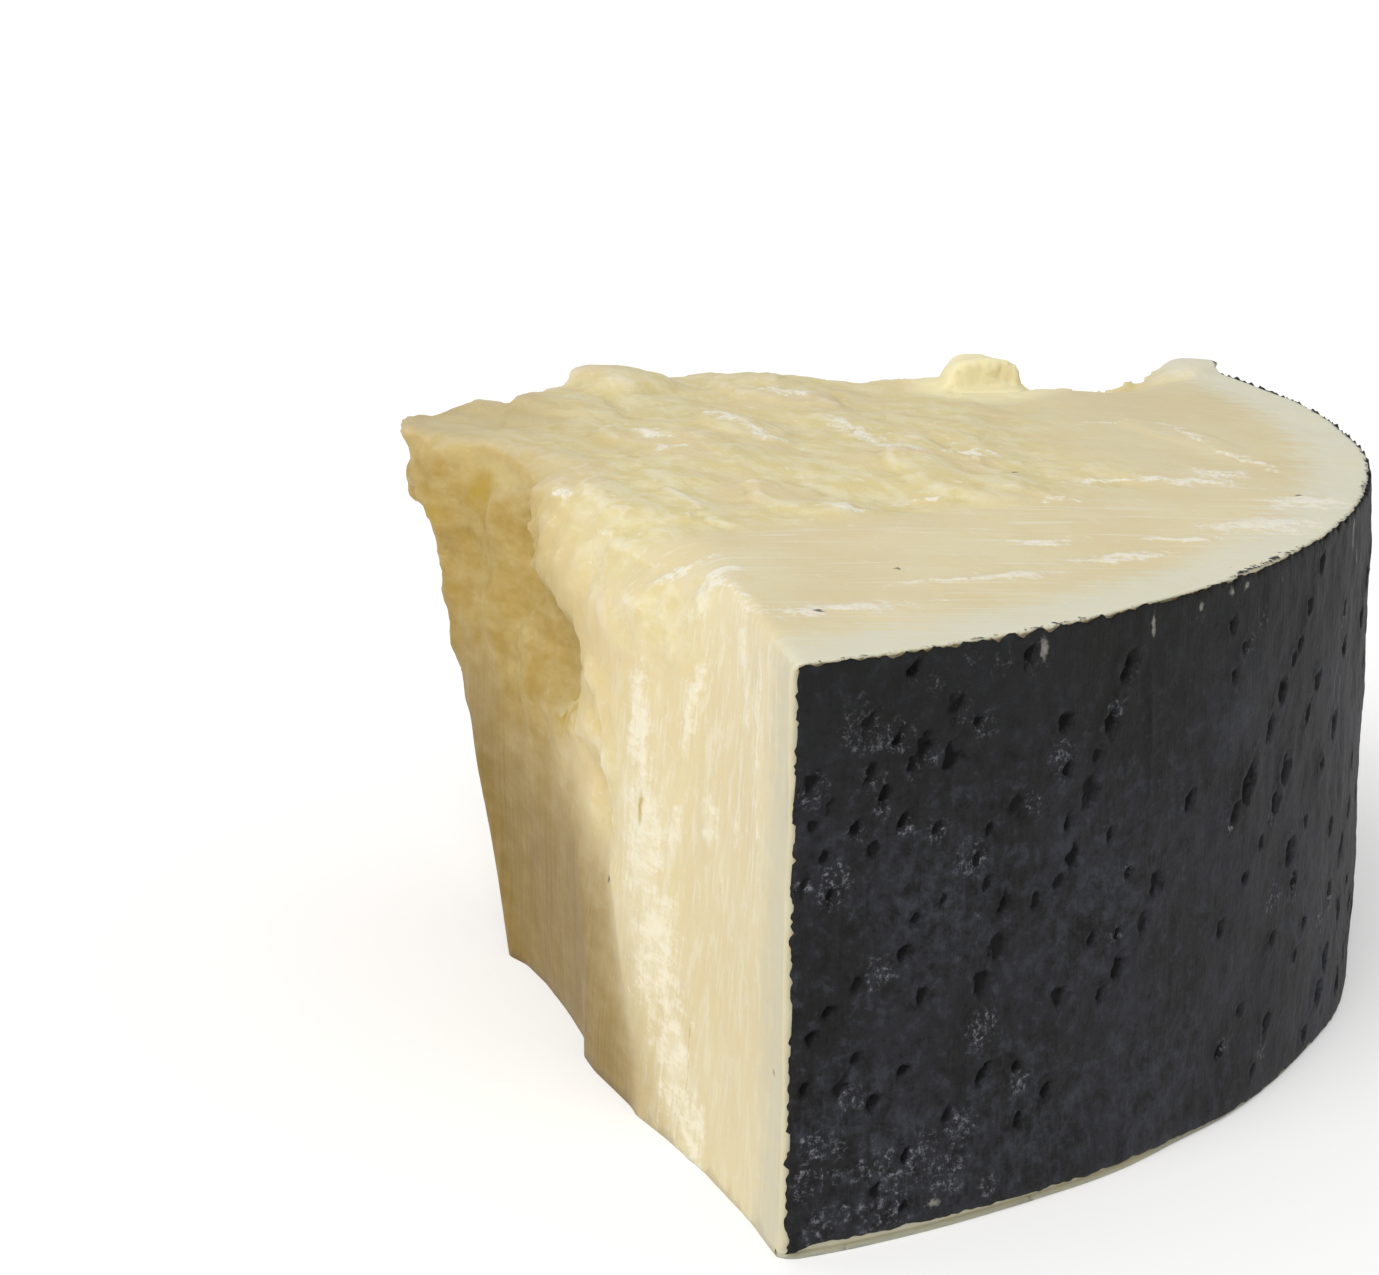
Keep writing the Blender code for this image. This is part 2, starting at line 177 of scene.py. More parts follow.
# Crags that stand up from the paste: centre, size and turn about Z.
CRAGS = {
    "knob": ((94.2, 38.6, 75.9), (15.0, 10.5, 13.4), 6),
    "small_bump": ((110.5, 45.0, 76.0), (9.0, 7.0, 6.0), 0),
    "far_lobe": ((131.0, 60.0, 75.0), (11.0, 17.0, 9.5), -28),
    "ridge": ((32.5, 41.0, 75.2), (15.0, 22.0, 11.0), 28),
    "tip_crag": ((5.8, 16.6, 71.2), (11.0, 21.0, 13.0), -18),
    "tip_lump": ((9.5, 27.0, 71.5), (11.0, 9.0, 11.0), 10),
}
SQUARENESS = 4
# Thin plates of paste that stand on the top: middle, length, width, heading and thickness.
FLAKES = (
    (76.0, -14.0, 30.0, 13.0, -64, 1.1),
    (84.0, -36.0, 44.0, 17.0, -72, 1.2),
    (53.0, 0.0, 26.0, 11.0, -58, 1.0),
    (38.0, -6.0, 22.0, 12.0, -40, 0.9),
    (24.0, 22.0, 24.0, 14.0, -50, 1.2),
    (58.0, 30.0, 34.0, 15.0, -56, 1.3),
    (36.0, -48.0, 34.0, 15.0, -66, 1.0),
    (60.0, -50.0, 26.0, 13.0, -60, 0.9),
    (121.0, -2.0, 34.0, 9.0, -60, 0.7),
)
PLATE_RAGGED = 0.35
PLATE_RAGGED_SIZE = 6.0
PLATE_RIM = (0.0, 0.3)
PLATE_HEAD, PLATE_TAIL = 0.7, 0.3
# The hollow in the left side: its upper right edge, where it starts to deepen and its lower edge.
# The first two give the distance along the cut for a height, the third a height for a distance.
CREST = ((8, 44), (20, 55), (34, 64), (55, 66.5), (60, 76), (64, 84), (68, 97), (72, 104), (80, 111),
         (90, 120))
DEEPER_FROM = ((0, 96), (30, 84), (48, 83), (58, 84), (63, 91), (68, 98), (80, 109), (90, 118))
LOWER_EDGE = ((80, 50), (90, 46), (96, 43), (104, 41), (113, 40.5), (122, 44), (128, 48), (140, 50),
              (170, 52))
# Past the crest the wall steps in to SHELF_DEPTH, but hardly at the foot, and the hollow is deeper
# still. CLEAR_OUT is where the cutter stays while it takes nothing away.
CLEAR_OUT = 7.0
SHELF_DEPTH = 3.6
FOOT_OUT = 1.0
FOOT_UP = (42, 2)
CREST_STEP = (-8, 12)
HOLLOW_DEPTH = 6.8
HOLLOW_RUN = (19.0, 15.0)
LONG_RUN_UP = (58, 74)
LOWER_SLOPE = 0.7
# The tip, where the hollow ends: along and up.
TIP_ALONG = (134, 160)
TIP_UP = (46, 74)
CUTTER_ALONG = (38.0, 186.0)
CUTTER_UP = (-10.0, 96.0)
CUTTER_OUT = 30.0
CUTTER_STEP = 2.0

# Where each kind of surface lies; a pair is where a share starts and where it is full.
ROUGH_BORDER = ((45, -76), (145, -36))  # near border of the top's rough part, as (x, y)
ROUGH_FADE = (0, 12)
CALM_SHARE = 0.8
CALM_RIGHT = (92, 112)
CALM_SLANT = 0.2
LEFT_SIDE_DEPTH = 24
LEFT_SIDE_LENGTH = 150
PAST_CREST = (-2, 6)
ABOVE_FOOT = (30, 36)
ABOVE_LOWER_EDGE = (-4, 2)
BEFORE_HOLLOW = (92, 80)
SHOULDER_SHARE = 0.8
SHOULDER_ALONG = (40, 56)
SHOULDER_UP = (56, 68)
TIP_SPLIT_ALONG = (132, 150)
TIP_SPLIT_UP = (20, 50)
BACK_FACING_SHARE = (0.2, 0.6)
BACK_CALM = 0.7
BACK_CALM_UP = (62, 76)
RIND_DEPTH = 2.2
RIND_FADE = 1.2
RIND_TILT = (0.5, 0.8)
FACING_UP = (0.3, 0.8)

# Lumps in the surface, as height, size, stretch, turn of the paste's grain and shift of the noise.
TOP_GRAIN = math.radians(-30)
SIDE_GRAIN = math.radians(26)
TOP_LUMPS = (1.4, 15.0, 1.8, TOP_GRAIN, 0)
SPLIT_LUMPS = (2.4, 15.0, 1.8, SIDE_GRAIN, 0)
FINE_LUMPS = (0.27, 5.5, 1.0, SIDE_GRAIN, 40)
BACK_CRAGS = (7.0, 30.0, 1.0, SIDE_GRAIN, 90)
BACK_KNOBS = (3.2, 11.0, 1.0, SIDE_GRAIN, 60)
# The smaller lumps on each one: share of its height, how much finer they are, and their shift.
ON_LUMPS = (0.5, 2.1, (7, 3, 5))
CUT_WAVES = (0.35, 24.0)
RIND_WAVES = (0.6, 20.0)
TOP_CROWN = 1.6
CROWN_FROM_RIND = (148, 103)
CROWN_FROM_NEAR = (-100, -20)
CROWN_FROM_LEFT = (-10, 50)
# The rounded edge between the top and the left side: least and added radius, and where.
EDGE_RADIUS = 1.5
SHOULDER_RADIUS = 10.0
SHOULDER_GROWS = (40, 64)
SHOULDER_SHRINKS = (118, 136)
TIP_RADIUS_SHARE = 0.25
# Where the top's back edge has crumbled away: place, reach and depth.
BACK_DIP = ((110.0, 56.0), 23.0, 4.8)
BACK_DIP_FLOOR = 0.2
BACK_FACING = np.array((-0.35, 0.94))
TOP_FACING = 0.55

PASTE_VOXEL = 0.7
RIM_ROUNDS = 8
PASTE_TRIANGLES = 190000

NEAR_CORNER = WHEEL_RADIUS * np.array((math.cos(NEAR_CORNER_ANGLE), math.sin(NEAR_CORNER_ANGLE)))
LEFT_ALONG = np.array((math.cos(LEFT_CUT_HEADING), math.sin(LEFT_CUT_HEADING)))
LEFT_OUT = np.array((-LEFT_ALONG[1], LEFT_ALONG[0]))


def smooth(low, high, value):
    """0 below low, 1 above high, and an even S-curve between."""
    t = np.clip((value - low) / (high - low), 0.0, 1.0)
    return t * t * (3.0 - 2.0 * t)


def edge_at(points, value):
    """A line through (value, place) points, read at a value."""
    known, places = zip(*points)
    return np.interp(value, known, places)


def left_point(along, out):
    """Plan position beside the left cut."""
    return NEAR_CORNER + LEFT_ALONG * along + LEFT_OUT * out


def outline(rise):
    """The cut and split sides in plan, at a share of the height; it runs wide of the rind."""
    lean_share = abs(1.0 - rise) ** LEAN_CURVE * math.copysign(1.0, 1.0 - rise)
    points = []
    for top_along, top_out, base_along, base_out in LEFT_SIDE:
        base = left_point(base_along, base_out)
        points.append(Vector(base).lerp(Vector(left_point(top_along, top_out)), rise))
    for i, place in enumerate(BACK_EDGE):
        lean = TIP_LEAN.lerp(FAR_LEAN, i / (len(BACK_EDGE) - 1))
        points.append(Vector(place) + lean * lean_share)
    wide = 1.6 * WHEEL_RADIUS
    return points + [Vector((wide, 0.6 * wide)), Vector((wide, -wide)), Vector((0.4 * wide, -wide))]


def helper_object(name, mesh_data):
    """An object for a mesh that later steps cut with or start from."""
    mesh = bpy.data.meshes.new(name)
    mesh_data.to_mesh(mesh)
    mesh_data.free()
    return new_object(name, mesh)


def loft(name, rings):
    """A closed block through rings of places."""
    bm = bmesh.new()
    rings = [[bm.verts.new(place) for place in ring] for ring in rings]
    for low, high in zip(rings, rings[1:]):
        for i in range(len(low)):
            j = (i + 1) % len(low)
            bm.faces.new((low[i], low[j], high[j], high[i]))
    bm.faces.new(rings[0])
    bm.faces.new(rings[-1])
    bmesh.ops.recalc_face_normals(bm, faces=bm.faces)
    return helper_object(name, bm)


def sides_block():
    """The block inside the sides, from below the base to above the top."""
    rings = [[(*place, rise * CHUNK_HEIGHT) for place in outline(rise)] for rise in LOFT_RISES]
    return loft("sides_block", rings)


def wheel_slab():
    """The slab of the wheel that the chunk is cut from, a little too deep until its base is cut."""
    depth = CHUNK_HEIGHT + BELOW_BASE
    middle = Matrix.Translation((0, 0, CHUNK_HEIGHT - depth / 2))
    bm = bmesh.new()
    bmesh.ops.create_cone(bm, cap_ends=True, segments=360, radius1=WHEEL_RADIUS, radius2=WHEEL_RADIUS,
                          depth=depth, matrix=middle)
    return helper_object("wheel_slab", bm)


def crag(name, spec):
    """A rounded lump, squarer than an ellipsoid."""
    centre, size, degrees = spec
    bm = bmesh.new()
    bmesh.ops.create_icosphere(bm, subdivisions=4, radius=0.5)
    for vert in bm.verts:
        x, y, z = vert.co * 2
        fullness = (x ** SQUARENESS + y ** SQUARENESS + z ** SQUARENESS) ** (1 / SQUARENESS)
        vert.co = Vector((x * size[0], y * size[1], z * size[2])) * (0.5 / fullness)
    turn = Matrix.Rotation(math.radians(degrees), 4, "Z")
    bm.transform(Matrix.Translation(Vector(centre)) @ turn)
    return helper_object(name, bm)


def hollow_wall(along, up):
    """How far out the left side stands after the hollow is split away; far out where it isn't."""
    tip = smooth(*TIP_ALONG, along) * smooth(*TIP_UP, up)
    depth = SHELF_DEPTH - (SHELF_DEPTH + FOOT_OUT) * smooth(*FOOT_UP, up)
    step = smooth(*CREST_STEP, along - edge_at(CREST, up))
    inside = np.minimum(along - edge_at(DEEPER_FROM, up), LOWER_SLOPE * (up - edge_at(LOWER_EDGE, along)))
    run = HOLLOW_RUN[0] + HOLLOW_RUN[1] * smooth(*LONG_RUN_UP, up)
    hollow = HOLLOW_DEPTH * smooth(0.0, run, inside)
    return CLEAR_OUT - ((CLEAR_OUT + depth) * step + hollow) * (1.0 - tip)


def hollow_block():
    """The paste that is split away from the left side: a block with the hollow's form inside."""
    alongs = np.arange(*CUTTER_ALONG, CUTTER_STEP)
    rings = []
    for up in np.arange(*CUTTER_UP, CUTTER_STEP):
        inner = [(*left_point(s, hollow_wall(s, up)), up) for s in alongs]
        outer = [(*left_point(s, CUTTER_OUT), up) for s in alongs[::-1]]
        rings.append(inner + outer)
    return loft("hollow_block", rings)


def boolean(target, other, operation):
    modifier = target.modifiers.new(operation.lower(), "BOOLEAN")
    modifier.operation = operation
    modifier.solver = "EXACT"
    modifier.object = other


def remesh(target, voxel):
    modifier = target.modifiers.new("even_faces", "REMESH")
    modifier.mode = "VOXEL"
    modifier.voxel_size = voxel


def apply_modifiers(target):
    """Replace the object's mesh by what its modifiers make of it."""
    depsgraph = bpy.context.evaluated_depsgraph_get()
    mesh = bpy.data.meshes.new_from_object(target.evaluated_get(depsgraph))
    target.modifiers.clear()
    old, target.data = target.data, mesh
    bpy.data.meshes.remove(old)


def arrays(mesh):
    """A mesh's places and normals as arrays."""
    places = np.empty(len(mesh.vertices) * 3)
    mesh.vertices.foreach_get("co", places)
    normals = np.empty(len(mesh.vertices) * 3)
    mesh.vertices.foreach_get("normal", normals)
    return places.reshape(-1, 3), normals.reshape(-1, 3)


def noise_at(places):
    return np.array([noise.noise(place) for place in places.tolist()])


def lumps(places, kind):
    """Rounded lumps of one kind: how far the surface stands out there."""
    height, size, stretch, grain, shift = kind
    share, finer, finer_shift = ON_LUMPS
    turn = np.array(Matrix.Rotation(grain, 3, "Z"))
    local = (places + shift) @ turn.T / (size, size * stretch, size)
    return height * (noise_at(local) + share * noise_at(local * finer + finer_shift))


def beside_left_cut(places):
    """Distance along the left cut and out from it."""
    away = places[:, :2] - NEAR_CORNER
    return away @ LEFT_ALONG, away @ LEFT_OUT


def split_share(places, normals):
    """1 where the paste was split, 0 where it was cut or is rind."""
    x, y, z = places.T
    along, out = beside_left_cut(places)
    on_top = smooth(*ROUGH_FADE, y - edge_at(ROUGH_BORDER, x))
    on_top *= 1.0 - CALM_SHARE * smooth(*CALM_RIGHT, x + CALM_SLANT * y)
    past_crest = smooth(*PAST_CREST, along - edge_at(CREST, z)) * smooth(*ABOVE_FOOT, z)
    above_lower = smooth(*ABOVE_LOWER_EDGE, z - edge_at(LOWER_EDGE, along)) + smooth(*BEFORE_HOLLOW, along)
    shoulder = SHOULDER_SHARE * smooth(*SHOULDER_ALONG, along) * smooth(*SHOULDER_UP, z)
    tip = smooth(*TIP_SPLIT_ALONG, along) * smooth(*TIP_SPLIT_UP, z)
    on_left = np.maximum.reduce([past_crest * np.minimum(above_lower, 1.0), shoulder, tip])
    faces_left = normals[:, :2] @ LEFT_OUT > FACING_UP[0]
    left = faces_left & (out > -LEFT_SIDE_DEPTH) & (along < LEFT_SIDE_LENGTH)
    return np.where(normals[:, 2] > TOP_FACING, on_top, np.where(left, on_left, 1.0))


def back_share(places, normals):
    """1 on the split back, less towards its top edge."""
    facing = smooth(*BACK_FACING_SHARE, normals[:, :2] @ BACK_FACING)
    return facing * (1.0 - BACK_CALM * smooth(*BACK_CALM_UP, places[:, 2]))


def flake_rise(places):
    """Height of the plates at a point of the top; each is steep along its near side."""
    rise = np.zeros(len(places))
    for x, y, length, width, heading, thickness in FLAKES:
        turn = math.radians(heading)
        away = places[:, :2] - (x, y)
        u = (away[:, 0] * math.cos(turn) + away[:, 1] * math.sin(turn)) * 2 / length
        v = (away[:, 1] * math.cos(turn) - away[:, 0] * math.sin(turn)) * 2 / width
        inside = 1.0 - u * u - v * v
        close = np.nonzero(inside > -0.5)[0]
        ragged = PLATE_RAGGED * noise_at(places[close] / PLATE_RAGGED_SIZE + (x, y, 0))
        plate = thickness * smooth(*PLATE_RIM, inside[close] + ragged) * (PLATE_HEAD - PLATE_TAIL * u[close])
        rise[close] = np.maximum(rise[close], plate)
    return rise


def rind_share(places, normals):
    reach = np.hypot(places[:, 0], places[:, 1]) - (WHEEL_RADIUS - RIND_DEPTH)
    return smooth(0.0, RIND_FADE, reach) * (1.0 - smooth(*RIND_TILT, np.abs(normals[:, 2])))


def rounded_shoulder(along, out, up):
    """Where the top turns down into the left side: how far in and down the sharp edge moves."""
    towards_tip = 1.0 - (1.0 - TIP_RADIUS_SHARE) * smooth(*SHOULDER_SHRINKS, along)
    radius = EDGE_RADIUS + SHOULDER_RADIUS * smooth(*SHOULDER_GROWS, along) * towards_tip
    side = np.interp(along, [spec[0] for spec in LEFT_SIDE], [spec[1] for spec in LEFT_SIDE])
    side = np.minimum(side, hollow_wall(along, np.full(len(along), CHUNK_HEIGHT)))
    above = np.maximum(radius - (CHUNK_HEIGHT - up), 0.0)
    beyond = np.clip(radius - (side - out), 0.0, radius)
    reach = np.maximum(np.hypot(above, beyond), 1e-6)
    share = np.maximum(reach - radius, 0.0) / reach * (along < LEFT_SIDE_LENGTH)
    return share * beyond, share * above


def relief(places, normals):
    """How far each point of the surface moves."""
    x, y, z = places.T
    along, out = beside_left_cut(places)
    rind = rind_share(places, normals)
    split = split_share(places, normals) * (1.0 - rind)
    back = split * back_share(places, normals)
    facing_up = smooth(*FACING_UP, normals[:, 2])
    fine = lumps(places, FINE_LUMPS)
    on_top = lumps(places, TOP_LUMPS) + TOP_LUMPS[0] * fine
    on_side = lumps(places, SPLIT_LUMPS) + SPLIT_LUMPS[0] * fine
    amount = split * (on_side + facing_up * (on_top - on_side))
    amount += back * (lumps(places, BACK_CRAGS) + lumps(places, BACK_KNOBS))
    amount += (1.0 - split) * CUT_WAVES[0] * noise_at(places / CUT_WAVES[1])
    amount += rind * RIND_WAVES[0] * noise_at(places / RIND_WAVES[1])
    moved = normals * amount[:, None]
    middle = smooth(*CROWN_FROM_RIND, np.hypot(x, y)) * smooth(*CROWN_FROM_NEAR, y)
    spot, reach, depth = BACK_DIP
    dip = depth * smooth(reach, BACK_DIP_FLOOR * reach, np.hypot(x - spot[0], y - spot[1]))
    crown = TOP_CROWN * middle * smooth(*CROWN_FROM_LEFT, x)
    moved[:, 2] += (crown + flake_rise(places) - dip) * facing_up
    inwards, down = rounded_shoulder(along, out, z)
    moved[:, :2] -= inwards[:, None] * LEFT_OUT
    moved[:, 2] -= down
    return moved


def trim_base(mesh):
    """Cut the chunk's base flat and close it."""
    bm = bmesh.new()
    bm.from_mesh(mesh)
    everything = bm.verts[:] + bm.edges[:] + bm.faces[:]
    bmesh.ops.bisect_plane(bm, geom=everything, plane_co=(0, 0, 0), plane_no=(0, 0, 1), clear_inner=True)
    rim = [edge for edge in bm.edges if edge.is_boundary]
    bmesh.ops.edgeloop_fill(bm, edges=rim)
    bm.to_mesh(mesh)
    bm.free()


def finish_piece(target):
    """Move a finished mesh into the part's frame and let it ride there."""
    target.data.transform(TO_PART)
    target.data.shade_smooth()
    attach(target, "root")


paste = wheel_slab()
paste.name = "paste"
helpers = [sides_block(), hollow_block()]
boolean(paste, helpers[0], "INTERSECT")
boolean(paste, helpers[1], "DIFFERENCE")
for name, spec in CRAGS.items():
    helpers.append(crag(name, spec))
    boolean(paste, helpers[-1], "UNION")
remesh(paste, PASTE_VOXEL)
apply_modifiers(paste)
for helper in helpers:
    bpy.data.objects.remove(helper)


def move_points(mesh, offsets_for):
    """Move a mesh's points by what a function makes of their places and normals."""
    places, normals = arrays(mesh)
    places += offsets_for(places, normals)
    mesh.vertices.foreach_set("co", places.ravel())
    mesh.update()


def write_fields(mesh, fields):
    """Keep a value of each field on each point, where the nodes find it by the field's name."""
    for name, values in fields.items():
        layer = mesh.attributes.get(name) or mesh.attributes.new(name, "FLOAT", "POINT")
        layer.data.foreach_set("value", np.asarray(values, dtype=np.float32))


def evened(mesh, values, rounds):
    """Rows of values on a mesh's points, moved towards the neighbours' values a number of times."""
    edges = np.empty(len(mesh.edges) * 2, dtype=np.int64)
    mesh.edges.foreach_get("vertices", edges)
    a, b = edges.reshape(-1, 2).T
    count = np.bincount(np.concatenate((a, b)), minlength=len(values))[:, None]
    even = values.copy()
    for _ in range(rounds):
        total = np.column_stack([
            np.bincount(a, even[b, axis], len(values)) + np.bincount(b, even[a, axis], len(values))
            for axis in range(values.shape[1])
        ])
        even = 0.5 * even + 0.5 * total / count
    return even


def soften(places, normals):
    """Round off sharp rims where the paste was split."""
    return split_share(places, normals)[:, None] * (evened(paste.data, places, RIM_ROUNDS) - places)


move_points(paste.data, soften)
move_points(paste.data, relief)
remesh(paste, PASTE_VOXEL)
apply_modifiers(paste)


class Graph:
    """A node tree that is written as sums of sockets."""

    def __init__(self, tree):
        self.tree = tree

    def node(self, kind, settings=None, inputs=None, output=0):
        """A node of a type, its settings first and then its sockets, read at one output."""
        made = self.tree.nodes.new(kind)
        for name, value in (settings or {}).items():
            setattr(made, name, value)
        self.fill(made, inputs or {})
        return Socket(self, made.outputs[output])

    def fill(self, made, inputs):
        """Link or set a node's sockets."""
        for key, value in inputs.items():
            if isinstance(value, Socket):
                self.tree.links.new(value.link, made.inputs[key])
            else:
                made.inputs[key].default_value = value

    def math(self, operation, *terms):
        return self.node("ShaderNodeMath", {"operation": operation}, dict(enumerate(terms)))

    def vector(self, operation, *terms, output=0):
        return self.node("ShaderNodeVectorMath", {"operation": operation}, dict(enumerate(terms)), output)

    def step(self, low, high, value):
        """0 below low, 1 above high, and an even S-curve between."""
        ends = {"Value": value, "From Min": low, "From Max": high}
        return self.node("ShaderNodeMapRange", {"interpolation_type": "SMOOTHSTEP"}, ends)

    def noise(self, place, scale, detail=2.0, roughness=0.5, output=0):
        ends = {"Vector": place, "Scale": scale, "Detail": detail, "Roughness": roughness}
        return self.node("ShaderNodeTexNoise", {}, ends, output)

    def streaks(self, place, scales, detail, roughness):
        """Noise with its own scale along each axis."""
        return self.noise(self.vector("MULTIPLY", place, scales), 1.0, detail, roughness)

    def cells(self, place, scale, output=0):
        return self.node("ShaderNodeTexVoronoi", {}, {"Vector": place, "Scale": scale}, output)

    def mix(self, share, first, second):
        """One colour over another."""
        ends = {0: share, 6: first, 7: second}
        return self.node("ShaderNodeMix", {"data_type": "RGBA"}, ends, 2)

    def layers(self, colour, *coats):
        """A colour with others laid over it in turn, each by its share."""
        for share, coat in coats:
            colour = self.mix(share, colour, coat)
        return colour


class Socket:
    """A node's output that can be added, multiplied and so on."""

    def __init__(self, graph, link):
        self.graph = graph
        self.link = link

    def __add__(self, other):
        return self.graph.math("ADD", self, other)

    def __sub__(self, other):
        return self.graph.math("SUBTRACT", self, other)

    def __rsub__(self, other):
        return self.graph.math("SUBTRACT", other, self)

    def __mul__(self, other):
        return self.graph.math("MULTIPLY", self, other)

    def __truediv__(self, other):
        return self.graph.math("DIVIDE", self, other)

    def __rtruediv__(self, other):
        return self.graph.math("DIVIDE", other, self)

    __radd__ = __add__
    __rmul__ = __mul__


def relief_tree(name, material, build_height, inputs):
    """A Geometry Nodes tree that raises a surface along its normals by a height."""
    tree = bpy.data.node_groups.new(name, "GeometryNodeTree")
    face = tree.interface
    face.new_socket("Geometry", in_out="INPUT", socket_type="NodeSocketGeometry")
    for label, value in inputs.items():
        face.new_socket(label, in_out="INPUT", socket_type="NodeSocketFloat").default_value = value
    face.new_socket("Geometry", in_out="OUTPUT", socket_type="NodeSocketGeometry")
    graph = Graph(tree)
    start = tree.nodes.new("NodeGroupInput")
    named = {socket.name: Socket(graph, socket) for socket in start.outputs}
    height = build_height(graph, named)
    normal = graph.node("GeometryNodeInputNormal")
    offset = graph.node("ShaderNodeVectorMath", {"operation": "SCALE"}, {0: normal, "Scale": height})
    moved = graph.node("GeometryNodeSetPosition", {}, {"Geometry": named["Geometry"], "Offset": offset})
    whole = graph.node("GeometryNodeRealizeInstances", {}, {"Geometry": moved})
    done = graph.node("GeometryNodeSetMaterial", {}, {"Geometry": whole, "Material": material})
    tree.links.new(done.link, tree.nodes.new("NodeGroupOutput").inputs["Geometry"])
    return tree


def use_tree(target, tree, values):
    """Put a tree on an object with its inputs set, and keep the mesh that it makes."""
    modifier = target.modifiers.new(tree.name, "NODES")
    modifier.node_group = tree
    for item in tree.interface.items_tree:
        if item.item_type == "SOCKET" and item.in_out == "INPUT" and item.name in values:
            modifier[item.identifier] = values[item.name]
    apply_modifiers(target)


PASTE_RELIEF = {"Lump size": 8.5, "Lump height": 0.30, "Plate length": 12.0, "Plate height": 0.35,
                "Grain size": 2.4, "Grain height": 0.16, "Drag height": 0.1, "Flake height": 0.2,
                "Side roughness": 1.6}


def broken_paste(graph, named):
    """Rounded lumps, thin plates and grains where the paste was split; faint drag on the cuts."""
    split, steep, white = (
        graph.node("GeometryNodeInputNamedAttribute", {"data_type": "FLOAT"}, {"Name": name})
        for name in ("split", "back", "white"))
    place = graph.node("GeometryNodeInputPosition")
    normal = graph.node("GeometryNodeInputNormal")
    drift = graph.vector("SUBTRACT", graph.noise(place, 0.12, output=1), (0.5, 0.5, 0.5))
    place = graph.vector("ADD", place, graph.vector("MULTIPLY", drift, (9.0, 9.0, 9.0)))
    along = graph.node("ShaderNodeVectorRotate", {"rotation_type": "Z_AXIS"},
                       {"Vector": place, "Angle": TOP_GRAIN})
    lengthwise = graph.vector("MULTIPLY", along, (1.0, 0.5, 1.0))
    lump = 0.55 - graph.cells(lengthwise, 1.0 / named["Lump size"])
    small = 0.55 - graph.cells(lengthwise, 2.3 / named["Lump size"])
    plate = graph.cells(lengthwise, 1.6 / named["Plate length"], output=1)
    grain = graph.noise(place, 1.0 / named["Grain size"], 4.0, 0.6) - 0.5
    upright = graph.step(0.8, 0.4, graph.vector("DOT_PRODUCT", normal, (0, 0, 1), output=1))
    height = named["Lump height"] * (lump + 0.5 * small) * (0.55 + 0.8 * steep + 1.8 * upright)
    height = height + named["Plate height"] * (graph.vector("DOT_PRODUCT", plate, (1, 0, 0), output=1) - 0.5)
    height = height + named["Grain height"] * 2.0 * grain * (1.0 + named["Side roughness"] * upright)
    drag = graph.noise(place, 0.09, 3.0) - 0.5
    flake = graph.step(0.0, 0.8, white + 2.4 * (graph.noise(place, 0.9, 4.0, 0.6) - 0.5))
    return split * height + (1.0 - split) * named["Drag height"] * drag + named["Flake height"] * flake


# Whiter flakes and streaks on the top: middle, half length, half width and heading; then on the left
# side, as distance along the cut and up, half length, half width and tilt.
WHITE_ON_TOP = (
    (70.0, -4.0, 10.0, 1.8, -72), (76.0, -17.0, 7.0, 2.6, -62), (86.5, -20.0, 4.5, 1.6, 4),
    (52.5, 0.0, 8.0, 1.8, -62), (37.5, -5.0, 5.0, 1.8, -60), (42.5, -15.0, 3.5, 1.8, 0),
    (92.4, -73.7, 3.5, 2.2, 0), (111.5, 5.8, 5.0, 0.9, 5), (118.0, -36.0, 9.0, 2.0, 0),
    (124.0, -29.0, 5.0, 2.6, 0), (126.0, -63.0, 9.0, 4.5, 14), (135.0, -47.0, 7.0, 5.0, 24),
    (123.0, -3.5, 10.0, 0.9, -75), (130.0, -20.0, 9.0, 0.9, -57), (34.5, -77.0, 4.0, 1.2, -42),
    (41.5, -79.8, 6.0, 1.5, -4), (47.0, -89.5, 3.0, 2.0, 10), (48.6, -99.0, 11.0, 1.9, -80),
    (51.0, -112.0, 8.0, 1.1, -78), (56.3, -7.0, 3.0, 1.5, -30), (108.0, -37.0, 9.0, 0.9, 2),
    (62.0, -111.0, 10.0, 3.0, 14), (80.0, -96.0, 9.0, 1.2, 12), (60.0, 24.0, 6.0, 2.0, -40),
    (88.0, -93.0, 6.0, 1.6, 20), (104.0, -82.0, 7.0, 1.8, 24), (113.0, -72.0, 6.0, 1.2, 0),
    (49.3, 7.0, 3.0, 1.4, -50), (98.0, -52.0, 4.0, 1.0, 0), (24.0, -36.0, 4.0, 1.4, -60),
    (66.0, -58.0, 3.5, 1.2, -20), (78.0, -50.0, 3.0, 1.4, 0),
)
WHITE_ON_LEFT = (
    (48.6, 42.3, 3.6, 2.4, 95), (38.7, 46.7, 4.6, 2.8, 92), (27.5, 48.5, 3.4, 2.2, 80),
    (32.8, 39.9, 2.2, 1.6, 60), (20.5, 64.0, 14.0, 1.1, 84), (16.5, 51.0, 6.0, 1.0, 80),
    (32.0, 73.0, 6.0, 2.4, 84), (47.5, 75.0, 3.5, 4.0, 60), (60.4, 52.0, 12.0, 3.6, 84),
    (56.5, 37.0, 11.0, 7.0, 80), (51.0, 25.0, 11.0, 7.5, 74), (43.0, 13.0, 11.0, 6.5, 72),
    (35.5, 4.0, 7.0, 5.0, 76), (47.0, 60.0, 8.0, 1.6, 100), (28.0, 66.0, 6.0, 2.0, 80),
)
# What makes the patches' outlines ragged: how far, over which size and how much finer the second is.
WARP = (2.6, 1.3)
WARP_SIZE = 4.2
WARP_RATIO = 3.1
# They lie on what faces up above WHITE_ABOVE, and on what faces left.
WHITE_ABOVE = 60.0
WHITE_UP, WHITE_LEFT = 0.6, 0.45


